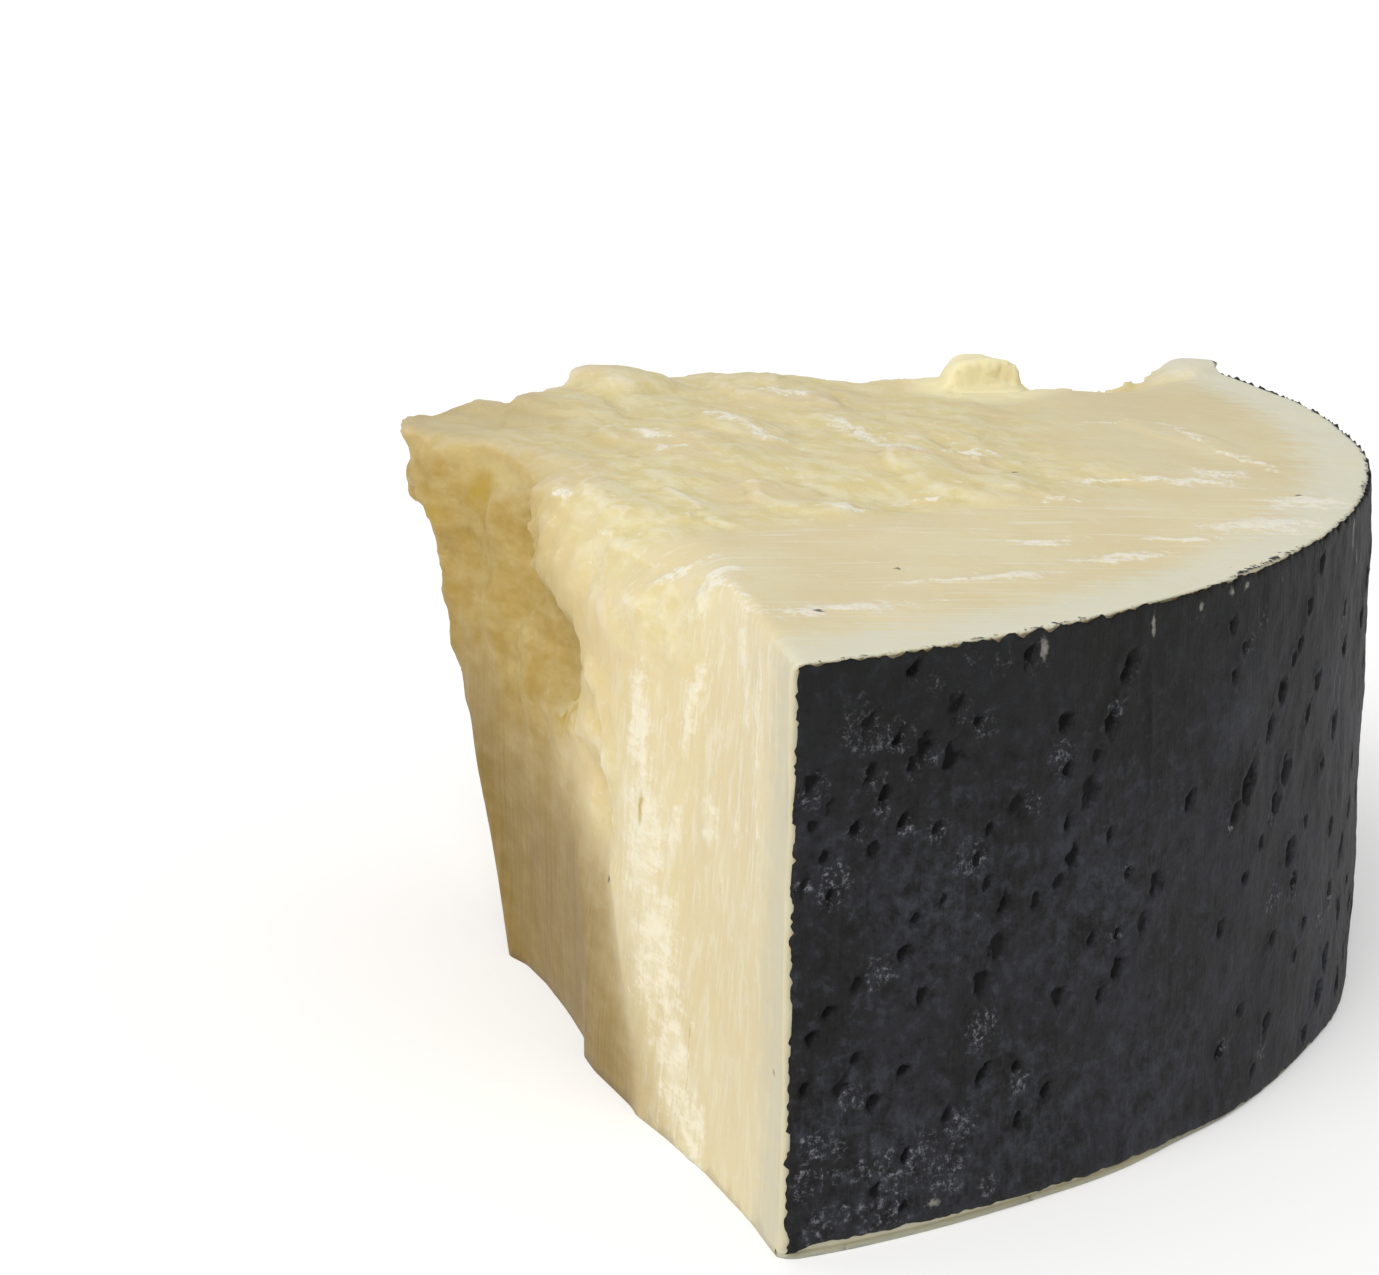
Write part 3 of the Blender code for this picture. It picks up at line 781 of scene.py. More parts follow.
def patch_field(u, v, patches):
    """1 in the middle of a patch, 0 at its rim."""
    field = np.full(len(u), -1.0)
    for middle_u, middle_v, half_length, half_width, heading in patches:
        turn = math.radians(heading)
        du, dv = u - middle_u, v - middle_v
        lengthwise = (du * math.cos(turn) + dv * math.sin(turn)) / half_length
        across = (dv * math.cos(turn) - du * math.sin(turn)) / half_width
        field = np.maximum(field, 1.0 - np.hypot(lengthwise, across))
    return field


def warped(places):
    """Places moved about a little, which makes the outlines of patches ragged."""
    moved = [noise.noise_vector(v) * WARP[0] + noise.noise_vector(v * WARP_RATIO) * WARP[1]
             for v in map(Vector, (places / WARP_SIZE).tolist())]
    return places + np.array(moved)


def white_field(places, normals):
    """The whiter flakes of both sides."""
    places = warped(places)
    along, out = beside_left_cut(places)
    faces_up = normals[:, 2] > WHITE_UP
    is_top = faces_up & (places[:, 2] > WHITE_ABOVE)
    on_top = np.where(is_top, patch_field(places[:, 0], places[:, 1], WHITE_ON_TOP), -1.0)
    is_left = (normals[:, :2] @ LEFT_OUT > WHITE_LEFT) & ~faces_up & (out > -LEFT_SIDE_DEPTH)
    return np.where(is_left, patch_field(along, places[:, 2], WHITE_ON_LEFT), on_top)


places, normals = arrays(paste.data)
rind_part = rind_share(places, normals)
split_part = split_share(places, normals) * (1.0 - rind_part)
write_fields(paste.data, {
    "split": split_part,
    "back": split_part * back_share(places, normals),
    "white": white_field(places, normals),
})

paste_finish = new_finish("paste")
use_tree(paste, relief_tree("broken_paste", paste_finish, broken_paste, PASTE_RELIEF), PASTE_RELIEF)
trim_base(paste.data)

# The rind is seated on the round side, so the paste under it stands in by the coat's thickness, and
# deeper away from the coat's edges, where pits sink into it.
COAT = 0.75
PIT_ROOM = 1.9
PIT_ROOM_FADE = (1.5, 5.0)
FOOT_ROUNDING = 1.8
FOOT_HEIGHT = 2.5
# How far the left cut stands out where it meets the round side: at the base, and less at the top.
CORNER_OUT = (2.0, 1.0)
# Past this angle the paste under the rind keeps clear of it, up to the rind's own top.
FAR_START = math.radians(14)
BULGE_CLEAR = 0.4
BULGE_FADE = (1.0, -0.5)


def near_angle(up):
    """Where the left side meets the round side, as an angle about the wheel's axis."""
    return NEAR_CORNER_ANGLE - (CORNER_OUT[0] - CORNER_OUT[1] * up / CHUNK_HEIGHT) / WHEEL_RADIUS


def bedding(places, normals):
    """How far the paste stands in under the rind."""
    x, y, z = places.T
    under = rind_share(places, normals)
    radius = np.hypot(x, y)
    from_near = (np.arctan2(y, x) - near_angle(z)) * WHEEL_RADIUS
    from_edges = np.minimum(np.minimum(from_near, z), CHUNK_HEIGHT - z)
    depth = COAT + PIT_ROOM * smooth(*PIT_ROOM_FADE, from_edges)
    foot = FOOT_ROUNDING * (1.0 - np.sqrt(1.0 - np.clip(1.0 - z / FOOT_HEIGHT, 0.0, 1.0) ** 2))
    bulge = np.maximum(radius - (WHEEL_RADIUS - COAT - BULGE_CLEAR), 0.0)
    bulge = np.where(np.arctan2(y, x) > FAR_START, bulge * smooth(*BULGE_FADE, z - CHUNK_HEIGHT), 0.0)
    inward = -np.maximum((depth + foot) * under, bulge) / radius
    return np.column_stack((x * inward, y * inward, np.zeros(len(x))))


whole_mesh = paste.data.copy()
move_points(paste.data, bedding)
fewer = paste.modifiers.new("fewer_faces", "DECIMATE")
fewer.ratio = min(1.0, PASTE_TRIANGLES / (2 * len(paste.data.polygons)))
apply_modifiers(paste)

# Fields on the paste's points say where each tint lies; a pair is where a field starts and is full.
UPWARD = (0.45, 0.7)
LEFTWARD = (0.3, 0.6)
LEFT_OUTWARD = (-30, -20)
# The left side gets painted shade towards its foot, over these heights.
LOW_LEFT_SHADE = (80.0, 0.0)
# Amber patches on the left side, as distance along and up, half length, half width and tilt.
AMBER_ON_LEFT = ((136.0, 72.0, 4.0, 4.5, 80), (147.0, 66.0, 4.5, 3.5, 60), (93.0, 47.0, 5.0, 8.0, 60),
                 (58.4, 42.8, 3.6, 0.8, 88), (54.6, 57.0, 2.0, 0.8, 88), (38.2, 13.0, 8.0, 0.5, 86))
# Where the left side turns from ivory to painted gold shade, as the distance along the cut for a height.
PAINTED_SHADE_EDGE = ((0, 40), (5, 44), (18, 56), (25, 64), (32, 74), (36, 84), (44, 87), (50, 82), (56, 75),
             (62, 77), (66, 84), (70, 96), (74, 101), (80, 108))
PAINTED_SHADE_FADE = (-2.0, 22.0)
PAINTED_SHADE_LEFTWARD = (-0.2, 0.4)
PAINTED_SHADE_OUTWARD = (-28.0, -24.0)
PAINTED_SHADE_LESS_ON_TOP = (0.5, (64.0, 76.0))
PAINTED_SHADE_LESS_UP = (0.15, (68.0, 80.0))
PAINTED_SHADE_ROUNDS = 50
# Below the hollow's lower edge the painted shade turns brown.
BROWN_SHADE_BELOW = (12.0, -22.0)
# Just before the gold shade's edge, a strip of painted peach shade darkens the slope.
PEACH_SHADE_FADE = (-20.0, 2.0)
PEACH_SHADE_UP = (24.0, 44.0)
# The top gets painted shade towards its back; the knob is kept clear of it and paler, and the tip gets
# the deepest painted shade. Where each lies in plan, where its tint fades, and the knob's height or the
# tip's share.
BACK_SHADE_FADE, BACK_SHADE_SLANT = (-60.0, 60.0), 0.3
KNOB_AT, KNOB_FADE, KNOB_UP = (94.2, 38.6), (17.0, 9.0), (74.0, 80.0)
TIP_AT, TIP_FADE, TIP_SHADE = (2.0, 16.0), (30.0, 10.0), 1.5
SUNK_ROUNDS = 14
# Where black strands of the coat were dragged onto the top's rim, in degrees about the wheel's axis.
TORN_AT = (-37.0, -33.5, -14.0)
TORN_WIDTH = 2.0
# Black specks of coat that the knife left: on the top, then on the left side.
DIRT_ON_TOP = ((116.9, -89.0, 1.2, 0.8, 30), (119.7, -86.0, 1.0, 0.7, 0), (60.4, -112.7, 1.3, 0.7, -20),
               (71.7, -89.0, 0.8, 0.7, 0), (133.4, -43.2, 1.2, 0.8, 40), (93.0, -30.0, 0.8, 0.8, 0))
DIRT_ON_LEFT = ((72.0, 28.0, 0.8, 0.9, 90), (82.0, 17.0, 0.8, 0.8, 90), (12.0, 52.0, 0.7, 0.7, 0),
                (6.0, 23.0, 0.7, 0.7, 0))


def sunk(mesh, rounds):
    """How far each point lies under the evened-out surface round it, in the mesh's own lengths."""
    places, normals = arrays(mesh)
    return np.einsum("ij,ij->i", evened(mesh, places, rounds) - places, normals)


def near_spot(x, y, spot, fade):
    """1 close to a spot of the plan, 0 beyond its reach."""
    return smooth(*fade, np.hypot(x - spot[0], y - spot[1]))


places, normals = arrays(paste.data)
x, y, z = places.T
along, out = beside_left_cut(places)
past_shade_edge = along - edge_at(PAINTED_SHADE_EDGE, z)
facing_up = smooth(*UPWARD, normals[:, 2])
sideways = normals[:, :2] @ LEFT_OUT
facing_left = smooth(*LEFTWARD, sideways) * (1.0 - facing_up) * smooth(*LEFT_OUTWARD, out)
gold_shade = smooth(*PAINTED_SHADE_FADE, past_shade_edge) * smooth(*PAINTED_SHADE_LEFTWARD, sideways) * smooth(*PAINTED_SHADE_OUTWARD, out)
less, fade = PAINTED_SHADE_LESS_ON_TOP
gold_shade *= 1.0 - less * facing_up * smooth(*fade, z)
less, fade = PAINTED_SHADE_LESS_UP
gold_shade *= 1.0 - less * smooth(*fade, z)
gold_shade = evened(paste.data, gold_shade[:, None], PAINTED_SHADE_ROUNDS)[:, 0]
on_knob = near_spot(x, y, KNOB_AT, KNOB_FADE) * smooth(*KNOB_UP, z)
far_top_shade = smooth(*BACK_SHADE_FADE, y + BACK_SHADE_SLANT * x) * (1.0 - on_knob)
far_top_shade += TIP_SHADE * near_spot(x, y, TIP_AT, TIP_FADE)
turns_from_torn = np.degrees(np.arctan2(y, x))[:, None] - np.array(TORN_AT)
paste_fields = {
    "split": split_share(places, normals),
    "white": white_field(places, normals),
    "amber": patch_field(along, z, AMBER_ON_LEFT) - 2.0 * (1.0 - facing_left),
    "upward": facing_up,
    "gold_shade": gold_shade,
    "brown_shade": gold_shade * smooth(*BROWN_SHADE_BELOW, z - edge_at(LOWER_EDGE, along)),
    "low_left_shade": facing_left * smooth(*LOW_LEFT_SHADE, z),
    "far_top_shade": facing_up * far_top_shade,
    "knob": on_knob,
    "dirt": np.where(facing_up > 0.5, patch_field(x, y, DIRT_ON_TOP), patch_field(along, z, DIRT_ON_LEFT)),
    "torn": np.exp(-(turns_from_torn / TORN_WIDTH) ** 2).max(axis=1),
    "peach_shade": smooth(*PEACH_SHADE_FADE, past_shade_edge) * facing_left * smooth(*PEACH_SHADE_UP, z),
    "leftward": facing_left,
    "sunk": sunk(paste.data, SUNK_ROUNDS),
}
write_fields(paste.data, paste_fields)

CUT_IVORY = (0.655, 0.555, 0.328, 1.0)
CUT_CREAM = (0.69, 0.605, 0.382, 1.0)
SPLIT_YELLOW = (0.645, 0.550, 0.275, 1.0)
SPLIT_PALE = (0.70, 0.630, 0.400, 1.0)
SPLIT_PEACH = (0.66, 0.535, 0.315, 1.0)
# Painted shade for crevices.
CREVICE_SHADE = (0.53, 0.40, 0.150, 1.0)
# Painted gold shade, and browner painted shade lower down, for the far part of the left side.
PAINTED_GOLD_SHADE = (0.355, 0.240, 0.060, 1.0)
PAINTED_BROWN_SHADE = (0.190, 0.120, 0.025, 1.0)
AMBER = (0.38, 0.255, 0.035, 1.0)
CHALK = (0.76, 0.725, 0.620, 1.0)
FLAKE_PALE = (0.745, 0.690, 0.530, 1.0)
# Painted shade for the top's back and tip and for the foot of the left side.
PAINTED_SHADE_TONE = (0.50, 0.415, 0.235, 1.0)
# Painted shade for the slope just before the gold shade.
PAINTED_PEACH_SHADE = (0.58, 0.44, 0.205, 1.0)
KNOB_PALE = (0.78, 0.715, 0.44, 1.0)
UNDER_RIND = (0.655, 0.645, 0.525, 1.0)
# A darker copy of the band's colour, for where it faces sideways: painted shade.
UNDER_RIND_SHADED = (0.52, 0.490, 0.365, 1.0)
RIND_BLACK = (0.012, 0.012, 0.012, 1.0)
BAND_WIDTH = 12.0


def start_look(material, fields):
    """A material's graph, a point's place in millimetres from the wheel's axis, and its fields."""
    graph = Graph(material.node_tree)
    objectwise = graph.node("ShaderNodeTexCoord", output="Object")
    place = graph.node("ShaderNodeMapping", {}, {
        "Vector": objectwise, "Location": tuple(-WHEEL_AXIS), "Scale": (1 / MM, 1 / MM, 1 / MM)})
    field = {name: graph.node("ShaderNodeAttribute", {"attribute_name": name}, output="Fac")
             for name in fields}
    return graph, place, field


def look_of_paste(material):
    """Ivory where it was cut, yellower and crumbly where it was split; painted shade in crevices, on the
    top's back and on the left side.
    """
    graph, place, field = start_look(material, paste_fields)
    split, upward, leftward = field["split"], field["upward"], field["leftward"]
    cut = 1.0 - split
    turned = graph.node("ShaderNodeVectorRotate", {"rotation_type": "Z_AXIS"},
                        {"Vector": place, "Angle": TOP_GRAIN})
    lengthwise = graph.vector("MULTIPLY", turned, (1.0, 0.4, 1.0))
    cloud = graph.noise(place, 0.045, 3.0)
    patch = graph.noise(lengthwise, 0.10, 4.0, 0.6)
    mottle = graph.noise(lengthwise, 0.34, 4.0, 0.6)
    grain = graph.noise(place, 1.4, 3.0, 0.65)
    crumb = graph.noise(lengthwise, 0.55, 5.0, 0.72)
    top_drag = graph.streaks(place, (0.05, 1.1, 0.4), 4.0, 0.6)
    side_drag = graph.streaks(place, (0.9, 0.9, 0.045), 4.0, 0.6)
    top_scratch = graph.streaks(place, (0.11, 1.6, 0.8), 3.0, 0.7)
    side_scratch = graph.streaks(place, (1.5, 1.5, 0.10), 3.0, 0.7)
    fibre = graph.streaks(place, (0.42, 0.42, 0.13), 6.0, 0.7)
    drag = upward * (top_drag - side_drag) + side_drag
    scratch = upward * (top_scratch - side_scratch) + side_scratch

    colour = graph.layers(
        graph.mix(graph.step(0.35, 0.65, cloud), CUT_IVORY, CUT_CREAM),
        (0.35 * graph.step(0.50, 0.70, patch), SPLIT_YELLOW),
        (cut * 0.6 * graph.step(0.54, 0.72, drag), CHALK),
        (cut * 0.6 * graph.step(0.66, 0.74, scratch), CHALK),
        (leftward * 0.55 * graph.step(0.52, 0.60, fibre), FLAKE_PALE),
        (leftward * 0.4 * graph.step(0.50, 0.40, fibre), SPLIT_PEACH),
        (cut * 0.4 * graph.step(0.60, 0.68, crumb), CHALK),
        (cut * upward * 0.3 * graph.step(0.56, 0.66, mottle), SPLIT_YELLOW),
    )
    broken = graph.layers(
        graph.mix(graph.step(0.38, 0.64, mottle), SPLIT_YELLOW, SPLIT_PALE),
        (0.7 * graph.step(0.50, 0.64, patch), SPLIT_PEACH),
        (0.65 * graph.step(0.60, 0.68, crumb), CHALK),
    )
    # The band beside the rind is greyer; where it faces sideways it is darker still, which is painted shade.
    reach = graph.vector("LENGTH", graph.vector("MULTIPLY", place, (1, 1, 0)), output=1)
    band = graph.step(WHEEL_RADIUS - BAND_WIDTH - 3.0, WHEEL_RADIUS - BAND_WIDTH + 6.0,
                      reach + 14.0 * (drag - 0.5) + 6.0 * (mottle - 0.5) + 8.0 * (crumb - 0.5))
    colour = graph.layers(
        colour,
        (split, broken),
        # Crevices get painted shade; the parts that stand proud are whiter.
        (split * 0.8 * graph.step(0.04, 0.50, field["sunk"]), CREVICE_SHADE),
        (split * 0.45 * graph.step(0.05, 0.30, 0.0 - field["sunk"]), CHALK),
        # Painted shade on the top's back and tip, and towards the foot of the left side.
        (0.30 * field["far_top_shade"], PAINTED_SHADE_TONE),
        (0.35 * field["low_left_shade"], PAINTED_SHADE_TONE),
        (band * (0.75 + 0.6 * (mottle - 0.5)), graph.mix(upward, UNDER_RIND_SHADED, UNDER_RIND)),
        # Painted peach shade on the slope before the gold shade.
        (field["peach_shade"] * (0.6 + 0.6 * (mottle - 0.5)), PAINTED_PEACH_SHADE),
        (0.7 * field["knob"], KNOB_PALE),
        # Painted gold shade, browner lower down, on the far part of the left side.
        (field["gold_shade"] * (0.86 + 1.1 * (mottle - 0.5) - 0.08 * graph.step(0.54, 0.66, crumb)), PAINTED_GOLD_SHADE),
        (field["brown_shade"] * (0.85 + 0.6 * (drag - 0.5) + 0.4 * (mottle - 0.5)), PAINTED_BROWN_SHADE),
    )
    # White flakes with ragged outlines, then amber patches and black strands and specks of the coat.
    fringe = (3.2 * (crumb - 0.5) + 2.6 * (grain - 0.5)) * (0.4 + 0.6 * upward) + cut * 1.6 * (drag - 0.5)
    chalky = graph.step(-0.2, 0.7, field["white"] + fringe)
    flaky = 0.35 + 0.35 * upward + 0.9 * graph.step(0.40, 0.66, crumb) * (1.0 - 0.4 * upward)
    ragged = 0.9 * (mottle - 0.5) + 0.5 * (grain - 0.5)
    torn = field["torn"]
    frayed = reach + 6.0 * (crumb - 0.5) + (1.6 + 3.0 * torn) * (grain - 0.5) + 0.9 * torn
    strands = graph.step(WHEEL_RADIUS - 0.6, WHEEL_RADIUS - 0.2, frayed)
    colour = graph.layers(
        colour,
        (chalky * graph.math("MINIMUM", flaky, 0.9), graph.mix(upward, FLAKE_PALE, CHALK)),
        (0.75 * graph.step(0.0, 0.9, field["amber"] + ragged), AMBER),
        (strands * upward, RIND_BLACK),
        (0.8 * graph.step(0.0, 0.5, field["dirt"]), RIND_BLACK),
    )
    height = (0.3 + 0.5 * split) * grain + 0.7 * crumb * split + 0.5 * drag * cut + 0.25 * chalky
    bump = graph.node("ShaderNodeBump", {}, {"Strength": 0.4, "Distance": 0.35 * MM, "Height": height})
    graph.fill(material.node_tree.nodes["Principled BSDF"], {
        "Base Color": colour,
        "Roughness": 0.46 + 0.12 * split + 0.2 * chalky + 0.1 * (grain - 0.5),
        "Normal": bump,
        "Subsurface Weight": 0.35,
        "Subsurface Radius": (1.0, 0.62, 0.28),
        "Subsurface Scale": 3.5 * MM,
        "Specular IOR Level": 0.15,
    })


look_of_paste(paste_finish)
finish_piece(paste)
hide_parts("pecorino_chunk")

# ---------------------------------------------------------------------------------------------
# The rind: a thin black coat that is painted on the wheel's round side. It is pitted by the form,
# has a bluish bloom round the pits, and breaks off raggedly along the cuts.

# The coat's grid, from the near corner to FAR_ANGLE; its inner wall is shorter by TUCK at both ends
# and lower at the top.
RIND_STEP = 0.5
FAR_ANGLE = math.radians(28)
START_INSET = 0.012
RIND_INSIDE = WHEEL_RADIUS - 2.7
TUCK = 2.2
INSIDE_LOWER = 1.0
# The coat ends where the chunk's round side does. PROBE is how far out a ray starts towards it; the
# side may lie in by ROUND_WITHIN, and has to stand more upright past the far angles.
PROBE = 20.0
ROUND_WITHIN = 1.4
UPRIGHT = (0.5, 0.85)
UPRIGHT_GROWS = (math.radians(10), math.radians(17))
TOP_SOUGHT = (60.0, 86.0)
END_SOUGHT = (math.radians(5), math.radians(40))
END_HEIGHTS = (1.0, 76.0)
NOTCH = 12
# The coat's foot, as height for an angle in degrees.
RIND_FOOT = ((-70.0, 0.2), (-68.2, 0.4), (-66.5, 1.6), (-58.0, 1.5), (-45.0, 1.0), (-34.0, 0.3), (30.0, 0.2))
# How raggedly each edge of the coat breaks off, as depth, size and shift of the noise.
TOP_NIBBLES = (1.2, 2.2, 3)
TOP_RAISED = 0.35
FOOT_NIBBLES = (0.5, 3.0, 8)
START_NIBBLES = ((0.9, 3.4, 5), (0.7, 1.1, 9))
END_NIBBLES = (1.0, 3.0, 6)

body = bvhtree.BVHTree.FromPolygons(
    [v.co for v in whole_mesh.vertices], [f.vertices[:] for f in whole_mesh.polygons])


def side_is_round(angle, up):
    """True where the chunk's round side is whole at an angle and height."""
    outward = Vector((math.cos(angle), math.sin(angle), 0.0))
    start = outward * (WHEEL_RADIUS + PROBE) + Vector((0, 0, up))
    place, normal = body.ray_cast(start, -outward, 2 * PROBE)[:2]
    if place is None or place.xy.length <= WHEEL_RADIUS - ROUND_WITHIN:
        return False
    return normal.dot(outward) > UPRIGHT[0] + (UPRIGHT[1] - UPRIGHT[0]) * smooth(*UPRIGHT_GROWS, angle)


def last_true(low, high, test):
    """The highest value for which a test still holds, found by halving."""
    for _ in range(9):
        middle = 0.5 * (low + high)
        low, high = (middle, high) if test(middle) else (low, middle)
    return low


def rind_top(angle):
    return last_true(*TOP_SOUGHT, lambda up: side_is_round(angle, up))


def rind_end(up):
    return last_true(*END_SOUGHT, lambda angle: side_is_round(angle, up))


def windowed(values, pick):
    """What a function picks from the values within NOTCH steps of each one."""
    padded = np.pad(values, NOTCH, mode="edge")
    return pick(np.lib.stride_tricks.sliding_window_view(padded, 2 * NOTCH + 1), axis=1)


def nibbles(lengths, depth, size, shift):
    """How far a broken edge stands in, along its length."""
    fine = noise_at(np.column_stack((lengths / size, lengths * 0 + shift, lengths * 0)))
    finer = noise_at(np.column_stack((lengths / (size * 0.35), lengths * 0, lengths * 0 + shift)))
    return depth * np.clip(0.35 + 0.9 * fine + 0.5 * finer, 0.0, 1.6)


# Pits, as degrees round the wheel and height, where the side facing the camera shows them.
PITS = (
    (-60.7, 65.3), (-63.7, 63.2), (-61.5, 62.9), (-65.9, 59.5), (-66.8, 57.4), (-64.5, 56.1), (-66.1, 52.9),
    (-67.2, 49.9), (-65.8, 47.6), (-62.9, 59.9), (-61.9, 56.1), (-60.0, 54.5), (-63.5, 53.0), (-59.6, 44.8),
    (-61.2, 43.0), (-56.0, 42.6), (-53.9, 42.0), (-57.5, 49.4), (-56.9, 53.2), (-57.1, 45.7), (-52.1, 58.6),
    (-52.3, 65.0), (-52.0, 51.3), (-52.4, 43.8), (-51.5, 47.2), (-59.2, 63.2), (-58.9, 69.8), (-57.7, 67.3),
    (-61.5, 75.4), (-54.7, 74.8), (-55.3, 55.5), (-64.0, 69.6), (-62.3, 66.8), (-66.8, 63.0), (-39.1, 71.6),
    (-37.9, 68.1), (-38.9, 64.4), (-34.4, 54.8), (-36.7, 49.7), (-28.0, 74.3), (-29.9, 69.3), (-31.1, 64.5),
    (-31.8, 63.0), (-33.2, 59.2), (-29.3, 53.2), (-23.8, 48.4), (-22.8, 65.4), (-22.2, 58.5), (-26.3, 43.8),
    (-48.9, 63.1), (-47.7, 70.2), (-49.9, 59.6), (-32.2, 46.8), (-28.1, 57.2), (-64.4, 35.8), (-60.7, 32.6),
    (-61.8, 38.5), (-57.2, 32.9), (-66.0, 32.4), (-66.8, 29.7), (-64.4, 26.1), (-61.8, 22.9), (-65.2, 22.7),
    (-63.4, 19.8), (-67.2, 22.9), (-57.0, 20.1), (-54.9, 19.9), (-52.9, 15.3), (-59.1, 15.8), (-54.7, 12.4),
    (-61.5, 11.6), (-63.2, 7.2), (-61.6, 4.5), (-56.3, 36.9), (-52.3, 28.1), (-50.5, 55.2), (-37.2, 48.1),
    (-42.6, 49.2), (-33.3, 43.3), (-38.3, 44.7), (-28.9, 37.1), (-24.0, 32.9), (-35.2, 38.5), (-31.1, 34.5),
    (-21.0, 26.8), (-48.9, 48.4), (-47.6, 42.2), (-36.9, 34.7), (-45.3, 39.5), (-30.6, 29.6), (-23.7, 22.7),
    (-39.1, 28.8), (-33.2, 23.1), (-28.8, 22.2), (-48.2, 34.4), (-50.0, 34.7), (-46.3, 34.8), (-30.1, 18.3),
    (-24.3, 12.9), (-48.1, 29.5), (-49.3, 26.3), (-36.6, 15.3), (-33.7, 10.4), (-38.7, 10.8), (-35.2, 5.1),
    (-25.2, 8.7), (-27.1, 3.6),
)
# Pale specks gather here: degrees, height and reach.
SPECKS = (
    (-64.4, 68.8, 3.8), (-62.4, 67.1, 2.6), (-60.2, 73.0, 1.8), (-58.9, 69.5, 2.2), (-57.3, 66.4, 2.2),
    (-58.2, 75.6, 1.6), (-56.3, 74.5, 2.0), (-54.3, 74.6, 2.4), (-61.5, 75.2, 1.3), (-63.7, 62.4, 2.0),
    (-66.8, 62.4, 2.4), (-67.1, 60.5, 1.4), (-60.4, 64.2, 1.8), (-61.4, 62.3, 1.4), (-63.2, 58.3, 1.6),
    (-61.8, 55.5, 1.6), (-59.9, 54.0, 1.8), (-52.5, 60.5, 2.8), (-54.4, 55.4, 1.6), (-58.0, 49.7, 2.6),
    (-65.5, 49.7, 2.4), (-67.2, 49.4, 1.4), (-65.7, 47.3, 2.0), (-64.5, 55.6, 1.4), (-42.1, 74.6, 1.4),
    (-35.9, 71.0, 1.6), (-37.1, 68.2, 2.0), (-22.3, 65.1, 2.0), (-23.4, 61.6, 2.4), (-21.1, 57.8, 2.0),
    (-22.8, 53.8, 1.8), (-47.7, 69.7, 1.6), (-48.6, 64.8, 2.0), (-33.4, 75.6, 1.6), (-58.4, 13.5, 2.8),
    (-66.5, 14.8, 2.6), (-65.2, 14.2, 1.6), (-66.9, 11.3, 2.0), (-65.7, 10.5, 1.6), (-62.2, 8.0, 2.2),
    (-62.8, 11.2, 1.8), (-62.3, 4.9, 2.6), (-63.2, 4.1, 2.6), (-67.2, 9.0, 1.6), (-66.3, 4.0, 2.6),
    (-60.3, 13.0, 2.0), (-57.2, 26.5, 3.0), (-63.2, 36.8, 2.4), (-60.7, 10.4, 3.0), (-59.0, 7.6, 3.2),
    (-64.0, 10.5, 1.8), (-64.6, 5.5, 1.8), (-56.6, 4.3, 1.8), (-54.8, 17.8, 2.0), (-64.5, 20.8, 2.0),
    (-48.4, 34.4, 1.4), (-47.6, 42.4, 1.2), (-38.5, 10.7, 1.8), (-33.8, 6.5, 2.0), (-33.2, 29.0, 2.6),
    (-30.6, 28.4, 2.6), (-25.5, 19.8, 2.4), (-23.5, 20.8, 2.2), (-38.7, 43.0, 1.2), (-33.9, 40.9, 1.6),
)
# A broad bluish-grey haze lies here, in the same terms.
HAZE = (
    (-55.9, 15.5, 9.0), (-53.4, 10.0, 10.0), (-57.5, 7.5, 8.0), (-65.4, 18.4, 7.0), (-62.6, 14.3, 8.0),
    (-63.5, 6.6, 8.0), (-27.6, 25.3, 10.0), (-24.5, 8.0, 12.0), (-49.6, 40.4, 12.0), (-60.0, 45.0, 12.0),
    (-22.0, 45.0, 12.0), (-45.0, 12.0, 12.0), (-38.0, 60.0, 8.0), (-10.0, 40.0, 20.0), (12.0, 30.0, 20.0),
)
# Chips that show the paste or its bloom: degrees, height, half width, half height.
CHIPS = ((-46.0, 75.4, 0.5, 2.4), (-53.8, 75.2, 0.8, 1.9), (-39.3, 76.2, 0.9, 0.8), (-37.9, 76.4, 0.7, 0.6),
         (-59.9, 4.1, 1.5, 0.8), (-21.0, 74.6, 0.8, 2.6), (-19.8, 71.0, 0.4, 2.0), (-42.1, 75.6, 0.6, 0.9))
# Where the coat was lapped, it stands up in a thin upright seam: degrees, lower and upper end.
SEAMS = ((-46.0, 44.0, 74.0), (-47.5, 22.0, 42.0))
# Past the side facing the camera the pits run in rows: degrees and heights of the rows, as first, last
# and step, the shift of every second one, and how likely each pit is.
ROW_TURNS = (-19.0, 27.0, 3.1)
ROW_HEIGHTS = (6.0, 74.0, 8.6)
ROW_SHIFT = 3.0
PIT_CHANCE = 0.7
PIT_LEAN = math.radians(24)
PIT_STRETCH = 1.6
# Where a pit's wall rises, and the lip round it as height, place and width, all in pit radii but the
# height; near the coat's edges the pits fade.
PIT_WALL = (1.15, 0.35)
PIT_LIP = (0.12, 1.6, 0.5)
PIT_FADE = (0.0, 1.5)
# What makes the pits ragged and the coat uneven away from its edges, each as height and size.
INLAND = (0.0, 3.0)
PIT_RAGGED = ((0.65, 1.2), (0.3, 0.5))
COAT_DENTS = ((0.28, (9.0, 9.0, 14.0)), (0.19, (2.6, 2.6, 4.5)))
COAT_GRAIN = ((0.05, 1.1),)
SEAM_HEIGHT, SEAM_WIDTH, SEAM_FADE = 0.16, 0.45, 4
SEAM_BEND, SEAM_BEND_SIZE = 1.2, 14.0
THIN_EDGE, THIN_EDGE_WIDTH = 0.15, 0.9


